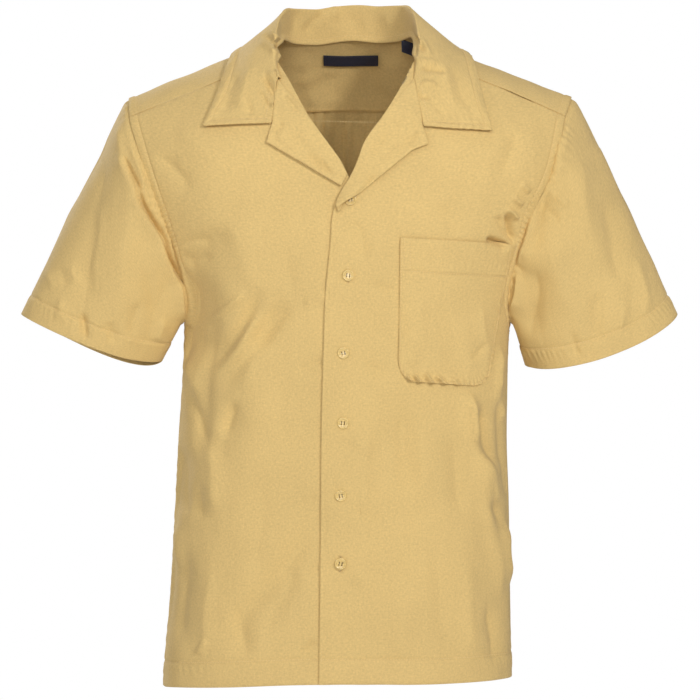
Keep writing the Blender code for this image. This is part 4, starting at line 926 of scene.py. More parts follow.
def sample(points, share):
    """Points at the given shares of the way along a line of points."""
    points = np.asarray(points, float)
    along = path_share(points)
    return np.stack([np.interp(share, along, column) for column in points.T], axis=-1)


def shares(*spans):
    """Rising shares from 0 on: each span runs to its end in so many even steps."""
    places = [0.0]
    for end, steps in spans:
        places += list(np.linspace(places[-1], end, steps + 1)[1:])
    return np.array(places)


ACROSS_FRONT = shares((0.06, 10), (0.90, 88), (1.0, 22))
ACROSS_BACK = shares((0.05, 12), (0.42, 48), (0.60, 68), (0.95, 46), (1.0, 12))
DOWN_BODY = shares((0.14, 46), (0.26, 62), (0.42, 44), (0.90, 62), (0.97, 22), (1.0, 6))
ACROSS_YOKE = shares((0.06, 14), (0.94, 170), (1.0, 14))
DOWN_YOKE = shares((0.06, 6), (0.94, 44), (1.0, 6))
AROUND_SLEEVE = shares((0.5, 210), (1.0, 84))
DOWN_SLEEVE = shares((0.10, 18), (0.84, 46), (0.93, 14), (1.0, 8))
COLLAR_STATIONS = shares((0.03, 6), (0.22, 36), (0.28, 12), (0.60, 36), (1.0, 26))
FALL_SHARES = shares((0.75, 24), (1.0, 20))
ALONG_LAPEL = shares((0.05, 8), (1.0, 76))
DOWN_LAPEL = shares((0.80, 26), (1.0, 14))
ACROSS_POCKET = shares((0.20, 34), (0.80, 60), (1.0, 34))
DOWN_POCKET = shares((0.25, 30), (0.80, 50), (1.0, 40))


def blend_patch(top, bottom, left, right, across, down):
    """Coons patch between four edges that meet at the corners, at the given shares."""
    u = across[None, :, None]
    v = down[:, None, None]
    top, bottom = sample(top, across), sample(bottom, across)
    left, right = sample(left, down), sample(right, down)
    sides = (1 - u) * left[:, None] + u * right[:, None]
    ends = (1 - v) * top[None] + v * bottom[None]
    corners = ((1 - u) * (1 - v) * top[0] + u * (1 - v) * top[-1]
               + (1 - u) * v * bottom[0] + u * v * bottom[-1])
    return sides + ends - corners


def armhole_branch(side, face):
    """Armhole seam from the yoke's corner to under the arm, as (angle, height)."""
    heights = np.linspace(yoke_corner(side, face)[1], UNDERARM_TURN, LINE_POINTS)
    line = np.stack([angle_at(armhole_x(side, face, heights), heights, face), heights], -1)
    end = side_seam_angle(side, face)
    part = np.linspace(0, math.pi / 2, CORNER_POINTS)[1:]
    curve = np.stack([end + (line[-1, 0] - end) * np.cos(part),
                      UNDERARM_TURN - (UNDERARM_TURN - UNDERARM_HEIGHT) * np.sin(part)], -1)
    return np.concatenate([line, curve])


def side_edge(side, face):
    """Outer edge of a front or back: armhole and side seam."""
    armhole = armhole_branch(side, face)
    angle = side_seam_angle(side, face)
    heights = np.linspace(UNDERARM_HEIGHT, float(hem_height(angle)), LINE_POINTS)[1:]
    return np.concatenate([armhole, np.stack([np.full(len(heights), angle), heights], -1)])


def front_edge(side):
    """Edge of a front: roll of the lapel and the straight edge down to the hem."""
    column = "plus_front_x" if side > 0 else "minus_front_x"
    low_x = float(read_table(EDGES, column, HEM_LEVEL))
    low = float(hem_height(angle_at(low_x, HEM_LEVEL, -1)))
    heights = np.linspace(GORGE_HEIGHT, low, 3 * LINE_POINTS)
    x = read_table(EDGES, column, heights)
    return np.stack([angle_at(x, heights, -1), heights], -1)


def neck_line():
    """Neckline from the plus yoke corner over the back to the minus one, (x, turn)."""
    across = np.array([row.across for row in NECKLINE])
    turns = np.array([float(turn_at(row.drop, row.face)) for row in NECKLINE])
    half = np.stack([across, turns], -1)[::-1]
    line = np.concatenate([half, half[::-1][1:] * (-1, 1)])
    share = path_share(line * (1, NECK_RADIUS))
    at = np.linspace(0, 1, 2 * LINE_POINTS + 1)
    x = read_smooth(share, line[:, 0], at) + NECK_SHIFT
    return np.stack([x, read_smooth(share, line[:, 1], at)], -1)


def front_yoke_seam(side):
    """Forward yoke seam from the neck out to the armhole, as (x, turn)."""
    start = float(neck_line()[0 if side > 0 else -1, 0])
    x = np.linspace(start, yoke_corner(side, -1)[0], LINE_POINTS)
    return np.stack([x, turn_at(np.full(len(x), FRONT_YOKE_DROP), -1)], -1)


def back_yoke_seam():
    """Back yoke seam from the plus armhole to the minus one, as (x, turn)."""
    x = np.linspace(yoke_corner(1, 1)[0], yoke_corner(-1, 1)[0], 2 * LINE_POINTS)
    return np.stack([x, turn_at(ridge_height(x) - back_yoke_height(x), 1)], -1)


def yoke_side(side):
    """Armhole edge of the yoke from its front corner to its back one, as (x, turn)."""
    front_x, front_height = yoke_corner(side, -1)
    back_x, back_height = yoke_corner(side, 1)
    front_turn = float(turn_at(FRONT_YOKE_DROP, -1))
    back_turn = float(turn_at(float(ridge_height(back_x)) - back_height, 1))
    turns = np.linspace(front_turn, back_turn, YOKE_STEPS * YOKE_FINER + 1)
    tip = side * SHOULDER_TIP
    x = np.where(turns < 0, tip - (tip - front_x) * (turns / front_turn) ** 2,
                 tip - (tip - back_x) * (turns / back_turn) ** 2)
    return np.stack([x, turns], -1)


def front_top(side):
    """Top edge of a front from the gorge up the neck and along the forward yoke seam."""
    seam = to_body(front_yoke_seam(side))
    return np.concatenate([front_edge(side)[:1], seam])


def body_patch(top, left, right, across, down):
    """Panel of the body as (angle, height) between its seams and the hem."""
    scale = np.array([BODY_RADIUS, 1])
    angles = np.linspace(left[-1, 0], right[-1, 0], 2 * LINE_POINTS)
    bottom = np.stack([angles, hem_height(angles)], -1)
    return blend_patch(top * scale, bottom * scale, left * scale, right * scale,
                       across, down) / scale


def body_grain(patch):
    """Place on the flat cloth, in metres: along the weft round the body and up the warp."""
    turns = np.linspace(-math.pi - 1, 2 * math.pi, GRAIN_POINTS)
    ring = body_point(turns, GRAIN_HEIGHT)
    steps = np.linalg.norm(np.diff(ring, axis=0), axis=1)
    length = np.concatenate([[0], np.cumsum(steps)])
    return np.stack([np.interp(patch[..., 0], turns, length), patch[..., 1]], -1)


def arc_grain(grid):
    """The same for a piece on its own: lengths along its middle row and middle column."""
    rows, columns = grid.shape[:2]
    across = np.linalg.norm(np.diff(grid[rows // 2], axis=0), axis=1)
    down = np.linalg.norm(np.diff(grid[:, columns // 2], axis=0), axis=1)
    u = np.concatenate([[0], np.cumsum(across)])
    v = np.concatenate([[0], np.cumsum(down)])
    return np.stack(np.meshgrid(u, -v), -1)


def as_seen(points):
    """Where points show from the camera, measured at the middle plane."""
    nearer = CAMERA_AWAY / (CAMERA_AWAY + points[..., 1])
    return points[..., 0] * nearer, CAMERA_HEIGHT + (points[..., 2] - CAMERA_HEIGHT) * nearer


def crease_rise(points, normals, zones):
    """Height of the creases of some zones, on the side of the cloth that they are on."""
    across, up = as_seen(points)
    shift = WANDER * np.sin(2 * math.pi * up / WANDER_LENGTH)
    up = up + WANDER * np.sin(2 * math.pi * across / WANDER_LENGTH + 1)
    across = across + shift
    total = np.zeros(across.shape)
    table = [(zone, crease) for zone in zones
             for crease in in_metres(Crease, CREASES.get(zone, ()))]
    for zone, crease in table:
        run_x, run_z = crease.x2 - crease.x1, crease.z2 - crease.z1
        length = math.hypot(run_x, run_z)
        off_x, off_z = across - crease.x1, up - crease.z1
        part = np.clip((off_x * run_x + off_z * run_z) / length ** 2, 0, 1)
        away = (off_z * run_x - off_x * run_z) / length - crease.bow * 4 * part * (1 - part)
        width = np.where(away > 0, crease.right_width, crease.left_width)
        taper = smooth_step(part / CREASE_TAPER) * smooth_step((1 - part) / CREASE_TAPER)
        facing = 1 if zone in HIDDEN_ZONES else -1
        shown = smooth_step(0.5 + facing * normals[..., 1] * FACE_FADE)
        total += crease.depth * np.exp(-np.abs(away / width) ** CREASE_PEAK) * taper * shown
    return total * bpy.context.scene.shirt_cloth.crease_depth


def ripple_rise(points):
    """Gentle unevenness of hanging cloth, the same for layers that lie on one another."""
    chance = np.random.default_rng(RIPPLE_SEED)
    total = np.zeros(points.shape[:-1])
    for share in np.linspace(0, 1, RIPPLES):
        length = RIPPLE_SHORTEST * (RIPPLE_LONGEST / RIPPLE_SHORTEST) ** share
        turn = chance.uniform(0, 2 * math.pi)
        climb = chance.uniform(-RIPPLE_CLIMB, RIPPLE_CLIMB)
        way = np.array([math.cos(turn), math.sin(turn), climb])
        phase = points @ way * (2 * math.pi / length) + chance.uniform(0, 2 * math.pi)
        total += RIPPLE_STEEPNESS * length * np.sin(phase)
    return total


def uneven_wave(along, period):
    """Ripple whose spacing and height wander, as those of puckered cloth do."""
    phase = along / period
    for wander in WAVE_WANDERS:
        phase = phase + wander.turns * np.sin(along / wander.length + wander.shift)
    height = 1 - WAVE_FADE + WAVE_FADE * np.sin(along / WAVE_FADE_LENGTH + period / WAVE_FADE_KEY)
    return np.sin(2 * math.pi * phase) * height


def edge_line(grid, edge):
    lines = {"top": grid[0], "bottom": grid[-1], "left": grid[:, 0], "right": grid[:, -1]}
    return lines[edge]


def beside(points, line, closed=False):
    """How far each point lies from a line on the cloth, and how far along it that is."""
    if closed:
        line = np.concatenate([line, line[:1]])
    length = np.linalg.norm(np.diff(line, axis=0), axis=1).sum()
    at = np.linspace(0, 1, max(3, int(length / MARK_STEP)))
    marks = sample(line, at)
    ways = np.gradient(marks, axis=0)
    ways = unit(ways)
    tree = KDTree(len(marks))
    for index, mark in enumerate(marks):
        tree.insert(mark, index)
    tree.balance()
    flat = points.reshape(-1, 3)
    nearest = np.array([tree.find(point)[1] for point in flat])
    offset = flat - marks[nearest]
    forward = np.sum(offset * ways[nearest], axis=1)
    away = np.sqrt(np.maximum(np.sum(offset ** 2, axis=1) - forward ** 2, 0))
    along = at[nearest] * length + forward
    return away.reshape(points.shape[:-1]), along.reshape(points.shape[:-1])


def seam_rise(piece, beside_edge):
    """Bands, grooves and puckers along a piece's sewn edges."""
    total = 0
    for seam in in_metres(Seam, SEAMS.get(piece, ())):
        away, along = beside_edge(seam.edge)
        inside = smooth_step((along - seam.start) / SEAM_END_FADE + 0.5)
        inside = inside * smooth_step((seam.end - along) / SEAM_END_FADE + 0.5)
        band = seam.raised * smooth_step((seam.stitch - away) / SEAM_STEP + 0.5)
        groove = seam.groove * np.exp(-((away - seam.stitch) / SEAM_STEP) ** 2)
        reach = np.exp(-((away - PUCKER_MIDDLE * seam.stitch) / seam.reach) ** 2)
        wave = uneven_wave(along + PUCKER_SLANT * away, seam.period)
        total = total + inside * (band - groove + seam.pucker * wave * reach)
    return total


class Panel:
    """One piece of cloth while it is made: its surface, its grain and its sewn edges."""

    def __init__(self, piece, grid, normals, grain, closed=False):
        self.piece = piece
        self.base = grid
        self.surface = grid
        self.normals = normals
        self.grain = grain
        self.closed = closed
        self.fields = {}
        self.lines = []

    def beside_edge(self, edge):
        if edge not in self.fields:
            closed = self.closed and edge in ("top", "bottom")
            self.fields[edge] = beside(self.base, edge_line(self.base, edge), closed)
        return self.fields[edge]

    def dress(self, zones, extra=0):
        """Add creases, unevenness and seams to the plain surface."""
        rise = crease_rise(self.base, self.normals, zones)
        for edge in SEWN_SIDES.get(self.piece, ()):
            rise = rise * smooth_step(self.beside_edge(edge)[0] / SIDE_CALM)
        rise = rise + ripple_rise(self.base)
        rise = rise + seam_rise(self.piece, self.beside_edge) + extra
        self.surface = self.base + self.normals * rise[..., None]

    def line_in_from(self, edge, inset, away, start=0.0, end=math.inf):
        """Line on the cloth that runs so far in from an edge, from start to end along it."""
        surface, normals, along = self.surface, self.normals, self.beside_edge(edge)[1]
        if edge in ("top", "bottom"):
            surface, normals = surface.swapaxes(0, 1), normals.swapaxes(0, 1)
            away, along = away.T, along.T
        if edge in ("right", "bottom"):
            surface, normals, away, along = (
                surface[:, ::-1], normals[:, ::-1], away[:, ::-1], along[:, ::-1])
        rows = np.arange(len(away))
        past = np.argmax(away > inset, axis=1)
        found = (past > 0) & (along[rows, past] >= start) & (along[rows, past] <= end)
        rows, past = rows[found], past[found]
        before, after = away[rows, past - 1], away[rows, past]
        part = ((inset - before) / (after - before))[:, None]
        points = surface[rows, past - 1] * (1 - part) + surface[rows, past] * part
        if self.closed:
            points = np.concatenate([points, points[:1]])
            rows = np.concatenate([rows, rows[:1]])
            past = np.concatenate([past, past[:1]])
        return points, normals[rows, past]

    def stitch(self, line):
        if len(line[0]) > 2:
            self.lines.append(line)

    def stitch_edges(self):
        """Run the rows of stitches that lie a steady way in from the edges."""
        for row in in_metres(Stitching, STITCHINGS.get(self.piece, ())):
            away = self.beside_edge(row.edge)[0]
            self.stitch(self.line_in_from(row.edge, row.inset, away, row.start, row.end))

    def tuck(self, edge, reach, depth):
        """Carry an edge on under its neighbour, so that no gap shows at the seam."""
        for part in (0.5, 1.0):
            line = edge_line(self.surface, edge)
            before = {"top": 1, "bottom": -2, "left": 1, "right": -2}[edge]
            axis = 0 if edge in ("top", "bottom") else 1
            inner = np.take(self.surface, before, axis=axis)
            out = line - inner
            out = unit(out)
            down = edge_line(self.normals, edge)
            fresh = line + out * reach / 2 - down * depth * part
            self.surface = self.with_line(self.surface, fresh, edge, axis)
            self.normals = self.with_line(self.normals, down, edge, axis)
            self.grain = self.with_line(self.grain, edge_line(self.grain, edge), edge, axis)

    @staticmethod
    def with_line(grid, line, edge, axis):
        line = np.expand_dims(line, axis)
        parts = [line, grid] if edge in ("top", "left") else [grid, line]
        return np.concatenate(parts, axis=axis)


def border_loops(rows, columns, closed):
    """Vertex numbers round a grid's open edges, each with its neighbour further in."""
    number = np.arange(rows * columns).reshape(rows, columns)
    if closed:
        return [(number[0], number[1]), (number[-1], number[-2])]
    edge = np.concatenate([number[0, :-1], number[:-1, -1], number[-1, :0:-1], number[:0:-1, 0]])
    inner_rows = np.clip(edge // columns, 1, rows - 2)
    inner_columns = np.clip(edge % columns, 1, columns - 2)
    return [(edge, inner_rows * columns + inner_columns)]


def mesh_object(name, points, faces, material, grain=None):
    """Smooth mesh object of the shirt that rides with it."""
    mesh = bpy.data.meshes.new(name)
    mesh.from_pydata([tuple(point) for point in np.asarray(points, float).tolist()], [], faces)
    if grain is not None:
        layer = mesh.uv_layers.new(name=GRAIN_LAYER)
        layer.data.foreach_set("uv", np.asarray(grain, "f").ravel())
    built = bmesh.new()
    built.from_mesh(mesh)
    bmesh.ops.recalc_face_normals(built, faces=built.faces)
    built.to_mesh(mesh)
    built.free()
    mesh.shade_smooth()
    mesh.materials.append(material)
    item = bpy.data.objects.new(name, mesh)
    bpy.context.collection.objects.link(item)
    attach(item, BODY)
    return item


def add_shell(name, panel, material, thickness=None):
    """Thin closed shell of cloth under a panel's surface, with rounded rims."""
    cloth = thickness or bpy.context.scene.shirt_cloth.thickness
    outer = panel.surface
    rows, columns = outer.shape[:2]
    inner = outer - panel.normals * cloth
    half = rows * columns
    points = [outer.reshape(-1, 3), inner.reshape(-1, 3)]
    spans = columns if panel.closed else columns - 1
    row, column = np.meshgrid(np.arange(rows - 1), np.arange(spans), indexing="ij")
    after = (column + 1) % columns
    quads = np.stack([row * columns + column, row * columns + after,
                      (row + 1) * columns + after, (row + 1) * columns + column], -1)
    quads = quads.reshape(-1, 4)
    wide = panel.grain.shape[1]
    grain_quads = np.stack([row * wide + column, row * wide + column + 1,
                            (row + 1) * wide + column + 1, (row + 1) * wide + column], -1)
    flat_grain = panel.grain.reshape(-1, 2)
    quad_grain = flat_grain[grain_quads.reshape(-1, 4)]
    faces = [quads, quads[:, ::-1] + half]
    grain = [quad_grain, quad_grain[:, ::-1]]
    first = 2 * half
    for edge, inside in border_loops(rows, columns, panel.closed):
        top, low = points[0][edge], points[1][edge]
        out = top - points[0][inside]
        out = unit(out)
        points.append((top + low) / 2 + out * cloth / 2)
        middle = first + np.arange(len(edge))
        first += len(edge)
        follow = np.roll(np.arange(len(edge)), -1)
        rim = [np.stack([edge, edge[follow], middle[follow], middle], -1),
               np.stack([middle, middle[follow], edge[follow] + half, edge + half], -1)]
        place = flat_grain[edge // columns * wide + edge % columns]
        for ring in rim:
            faces.append(ring)
            grain.append(np.stack([place, place[follow], place[follow], place], 1))
    return mesh_object(name, np.concatenate(points), np.concatenate(faces).tolist(), material,
                       np.concatenate(grain))


def thread_tubes(name, centres, ways, ups, length, radius, material, arch=None):
    """Short round threads, one at each centre, that dip into the cloth at both ends."""
    arch = STITCH_ARCH if arch is None else arch
    ways = unit(ways)
    ups = ups - ways * np.sum(ups * ways, axis=1, keepdims=True)
    ups = unit(ups)
    sides = np.cross(ways, ups)
    turns = 2 * math.pi * np.arange(THREAD_SIDES) / THREAD_SIDES
    rings = []
    for step in arch:
        middle = centres + ways * step.along * length + ups * step.up
        spoke = (sides[:, None] * np.cos(turns)[None, :, None]
                 + ups[:, None] * np.sin(turns)[None, :, None])
        rings.append(middle[:, None] + spoke * radius * step.width)
    points = np.stack(rings, axis=1)
    count = len(arch) * THREAD_SIDES
    one = []
    for ring in range(len(arch) - 1):
        for k in range(THREAD_SIDES):
            after = (k + 1) % THREAD_SIDES
            one.append([ring * THREAD_SIDES + k, ring * THREAD_SIDES + after,
                        (ring + 1) * THREAD_SIDES + after, (ring + 1) * THREAD_SIDES + k])
    caps = [list(range(THREAD_SIDES)), list(range(count - THREAD_SIDES, count))]
    faces = []
    for k in range(len(centres)):
        faces += [[corner + k * count for corner in face] for face in one + caps]
    return mesh_object(name, points.reshape(-1, 3), faces, material)


def add_stitches(panel):
    """All the rows of stitches of one panel, joined."""
    sewing = bpy.context.scene.shirt_sewing
    centres, ways, ups = [], [], []
    for points, normals in panel.lines:
        length = np.linalg.norm(np.diff(points, axis=0), axis=1).sum()
        count = max(1, int(length / sewing.pitch))
        at = (np.arange(count) + 0.5) / count
        share = path_share(points)
        centres.append(sample(points, at))
        run = np.gradient(points, axis=0)
        for source, target in ((run, ways), (normals, ups)):
            target.append(np.stack([np.interp(at, share, column) for column in source.T], -1))
    item = thread_tubes(panel.piece + "_stitching", np.concatenate(centres),
                        np.concatenate(ways), np.concatenate(ups),
                        sewing.pitch * STITCH_SHARE, sewing.thread_radius,
                        finish("thread"))
    return item


def add_cloth(panel):
    """Shell of a panel with its stitches, which stands for the solid of the same name."""
    item = add_shell(panel.piece + "_cloth", panel, finish("poplin"), DOUBLED.get(panel.piece))
    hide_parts(panel.piece)
    sewn = [add_stitches(panel)] if panel.lines else []
    return item


def body_panel(piece, patch, layer, lift=0.0):
    """Panel on the body, from its place as (angle, height)."""
    angle, height = patch[..., 0], patch[..., 1]
    grid = dressed_point(angle, height, lift, layer)
    return Panel(piece, grid, surface_normal(body_point, angle, height), body_grain(patch))


def add_front(side):
    """One front: armhole and side seam outside, lapel roll and button edge inside."""
    piece = "front_left" if side > 0 else "front_right"
    top = front_top(side)
    if side > 0:
        patch = body_patch(top, front_edge(side), side_edge(side, -1), ACROSS_FRONT, DOWN_BODY)
    else:
        patch = body_patch(top[::-1], side_edge(side, -1), front_edge(side),
                           1 - ACROSS_FRONT[::-1], DOWN_BODY)
    panel = body_panel(piece, patch, "over" if side > 0 else "plain")
    panel.dress([piece])
    panel.stitch_edges()
    panel.tuck("top", TUCK_REACH, TUCK_DEPTH)
    add_cloth(panel)


def pleat_rise(grid):
    """Press the box pleat flat into the yoke seam, and mark its folds inside."""
    below = np.maximum(0, BACK_YOKE_HEIGHT - grid[..., 2])
    pressed = PLEAT_HEIGHT - PLEAT_PRESSED
    edge = PLEAT_HALF_WIDTH + PLEAT_SPREAD * below
    inside = smooth_step((edge - np.abs(grid[..., 0] - PLEAT_MIDDLE)) / PLEAT_FOLD_WIDTH + 0.5)
    return -pressed * inside * smooth_step(1 - below / PLEAT_PRESS_LENGTH)


def add_back():
    """Back with its box pleat under the yoke."""
    patch = body_patch(to_body(back_yoke_seam()), side_edge(1, 1), side_edge(-1, 1),
                       ACROSS_BACK, DOWN_BODY)
    panel = body_panel("back", patch, "back")
    panel.dress(["back"], pleat_rise(panel.base))
    panel.stitch_edges()
    panel.tuck("top", TUCK_REACH, TUCK_DEPTH)
    panel.tuck("left", SIDE_TUCK_REACH, SIDE_TUCK_DEPTH)
    panel.tuck("right", SIDE_TUCK_REACH, SIDE_TUCK_DEPTH)
    add_cloth(panel)


def add_yoke():
    """Yoke over both shoulders, from the forward seams to the back one."""
    front = np.concatenate([front_yoke_seam(1)[::-1], neck_line()[1:-1], front_yoke_seam(-1)])
    scale = np.array([1, SHOULDER_RADIUS])
    patch = blend_patch(front * scale, back_yoke_seam() * scale, yoke_side(1) * scale,
                        yoke_side(-1) * scale, ACROSS_YOKE, DOWN_YOKE) / scale
    x, turn = patch[..., 0], patch[..., 1]
    grain = np.stack([x, -turn * SHOULDER_RADIUS], -1)
    panel = Panel("yoke", shoulder_lifted(x, turn), upward_normal(x, turn), grain)
    panel.dress(["yoke_front", "yoke_inside", "yoke_back"])
    panel.stitch_edges()
    add_cloth(panel)


def armhole_loop(side):
    """Armhole from the shoulder tip down the front and up the back, with its normals
    and the way along the cloth towards the sleeve."""
    yoke = yoke_side(side)
    ridge = YOKE_FINER * int(np.argmin(np.abs(yoke[::YOKE_FINER, 1])))
    over = shoulder_point(yoke[:, 0], yoke[:, 1])
    over_normal = upward_normal(yoke[:, 0], yoke[:, 1])
    branches = []
    for face in (-1, 1):
        line = armhole_branch(side, face)
        angle, height = line[:, 0], line[:, 1]
        branches.append((dressed_point(angle, height), surface_normal(body_point, angle, height)))
    front, back = branches
    points = np.concatenate([over[ridge:0:-1], front[0], back[0][-2:0:-1], over[:ridge:-1]])
    normals = np.concatenate([over_normal[ridge:0:-1], front[1], back[1][-2:0:-1],
                              over_normal[:ridge:-1]])
    share = path_share(np.concatenate([points, points[:1]]))
    under = share[int(np.argmin(points[:, 2]))]
    at = np.concatenate([AROUND_SLEEVE[AROUND_SLEEVE <= 0.5] * 2 * under,
                         under + (AROUND_SLEEVE[AROUND_SLEEVE > 0.5] - 0.5) * 2 * (1 - under)])
    at = at[:-1]
    points = sample(np.concatenate([points, points[:1]]), at)
    normals = np.stack([np.interp(at, share[:-1], column) for column in normals.T], -1)
    normals = unit(normals)
    inward = points.mean(axis=0) - points
    inward -= normals * np.sum(inward * normals, axis=1, keepdims=True)
    inward = unit(inward)
    return points, normals, inward


def add_sleeve(name):
    """Sleeve from under the armhole's edge to its cuff, rows down and columns around."""
    sleeve = SLEEVES[name]
    seam, seam_normals, inward = armhole_loop(sleeve.side)
    loop = seam + inward * SLEEVE_OFF_SEAM + seam_normals * SLEEVE_ABOVE_SEAM
    turn = 2 * math.pi * AROUND_SLEEVE[:-1]
    outer = np.array([sleeve.outer_x, CUFF_FORWARD, sleeve.outer_z])
    inner = np.array([sleeve.inner_x, CUFF_FORWARD, sleeve.inner_z])
    cuff = (outer + inner) / 2 + np.cos(turn)[:, None] * (outer - inner) / 2
    cuff[:, 1] -= CUFF_HALF_DEPTH * np.sin(turn)
    sag = np.where(np.sin(turn) > 0, sleeve.front_sag, sleeve.back_sag)
    cuff[:, 2] -= sag * np.abs(np.sin(turn)) ** SAG_ROUND * (1 - sleeve.lean * np.cos(turn))
    rows = DOWN_SLEEVE
    grid = (1 - rows)[:, None, None] * loop[None] + rows[:, None, None] * cuff[None]
    full = SLEEVE_FULLNESS * np.sin(math.pi * rows ** FULLNESS_HIGH)
    grid[..., 1] -= full[:, None] * np.sin(turn)
    head = sleeve.head * np.sin(math.pi * rows ** HEAD_HIGH)
    head = head[:, None] * np.maximum(np.cos(turn), 0)
    grid[..., 0] += sleeve.side * head
    grid[..., 2] += HEAD_RISE * head
    down = np.linalg.norm(grid - grid[:1], axis=-1)
    drawn = 1 - smooth_step(down / SLEEVE_TUCK_FADE)
    grid -= drawn[..., None] * (inward * SLEEVE_TUCK_REACH + seam_normals * SLEEVE_TUCK_DEPTH)
    around = AROUND_SLEEVE * SLEEVE_AROUND
    grain = np.stack(np.meshgrid(around, -rows * SLEEVE_LONG), -1)
    if sleeve.side > 0:
        grid = grid[:, ::-1]
        grain = grain[:, ::-1]
    panel = Panel(name, grid, grid_normals(grid, closed=True), grain, closed=True)
    panel.dress([name + "_front", name + "_back"])
    panel.stitch_edges()
    add_cloth(panel)


def neck_half(side, share):
    """Neck seam from the gorge to the centre back, as (x, turn)."""
    whole = neck_line()
    middle = LINE_POINTS
    half = whole[:middle + 1] if side > 0 else whole[:middle - 1:-1]
    column = "plus_front_x" if side > 0 else "minus_front_x"
    gorge_x = float(read_table(EDGES, column, GORGE_HEIGHT)) + side * GORGE_GAP
    gorge = (gorge_x, float(turn_at(float(ridge_height(gorge_x)) - GORGE_HEIGHT, -1)))
    line = np.concatenate([[gorge], half])
    at = path_share(shoulder_point(line[:, 0], line[:, 1]))
    places = np.linspace(0, 1, NECK_STATIONS)
    coarse = np.stack([np.interp(places, at, line[:, 0]), np.interp(places, at, line[:, 1])], -1)
    return np.stack([read_smooth(places, coarse[:, 0], share),
                     read_smooth(places, coarse[:, 1], share)], -1)


def fall_reading(falls, values, share):
    """Reading of the fall's edge with a crisp corner at the leaf's tip."""
    places = np.array([row.neck_share for row in falls])
    tip = int(np.argmax(places >= TIP_SHARE))
    before = read_smooth(places[:tip + 1], values[:tip + 1], share)
    after = read_smooth(places[tip:], values[tip:], share)
    return np.where(share < TIP_SHARE, before, after)


def collar_half(side, falls, share):
    """Middle surface of half the collar: stations along it, rows from seam to edge."""
    neck = neck_half(side, share)
    seam = shoulder_point(neck[:, 0], neck[:, 1])
    upright = smooth_step((share - UPRIGHT_FROM) / UPRIGHT_WITHIN)[:, None]
    lean = np.array([0, -STAND_LEAN, 1]) / math.hypot(1, STAND_LEAN)
    rise = upright * lean + (1 - upright) * upward_normal(neck[:, 0], neck[:, 1])
    rise = unit(rise)
    along = np.gradient(seam, axis=0)
    out = np.cross(along, rise) * -side
    out = unit(out)
    out *= np.sign(np.sum(out * (seam - (NECK_SHIFT, 0, 0)), axis=1, keepdims=True))
    stand = read_table(falls, "stand", share, "neck_share")[:, None]
    foot = seam + rise * COLLAR_OFF_SEAM
    top = seam + rise * stand
    deep = smooth_step(share / FOOT_FADE)[:, None]
    rows = []
    for part in np.linspace(1, 0, FOOT_ROWS + 1)[:-1]:
        low = foot - rise * (COLLAR_OFF_SEAM + FOOT_DEPTH) * part * deep
        rows.append(low - out * FOOT_INWARD * math.sin(part * math.pi * FOOT_BULGE) * deep
                    - rise * FOOT_STEP * part * (1 - deep))
    rows += [foot + (top - foot) * part for part in np.linspace(0, 1, STAND_ROWS)]
    end = TURN_FRONT + (TURN_BACK - TURN_FRONT) * smooth_step(share / TURN_WITHIN)[:, None]
    opened = smooth_step(share / TURN_OPENS)[:, None]
    radius = COLLAR_TURN * (TURN_LEAST + (1 - TURN_LEAST) * opened)
    for part in np.linspace(0, 1, TURN_ROWS + 2)[1:]:
        start = top + radius * (out * (1 - np.cos(end * part)) + rise * np.sin(end * part))
        rows.append(start)
    rows.pop()
    edge_x = fall_reading(falls, [row.edge_x for row in falls], share)
    turns = [float(turn_at(row.edge_drop, row.behind)) for row in falls]
    edge_turn = fall_reading(falls, turns, share)
    lift = COLLAR_LAYER_GAP + CLOTH / 2
    first = start - shoulder_lifted(neck[:, 0], neck[:, 1], lift)
    for part in FALL_SHARES:
        x = neck[:, 0] + (edge_x - neck[:, 0]) * part
        turn = neck[:, 1] + (edge_turn - neck[:, 1]) * part
        rows.append(shoulder_lifted(x, turn, lift) + first * (1 - part) ** FALL_EASE)
    return np.stack(rows, axis=1)


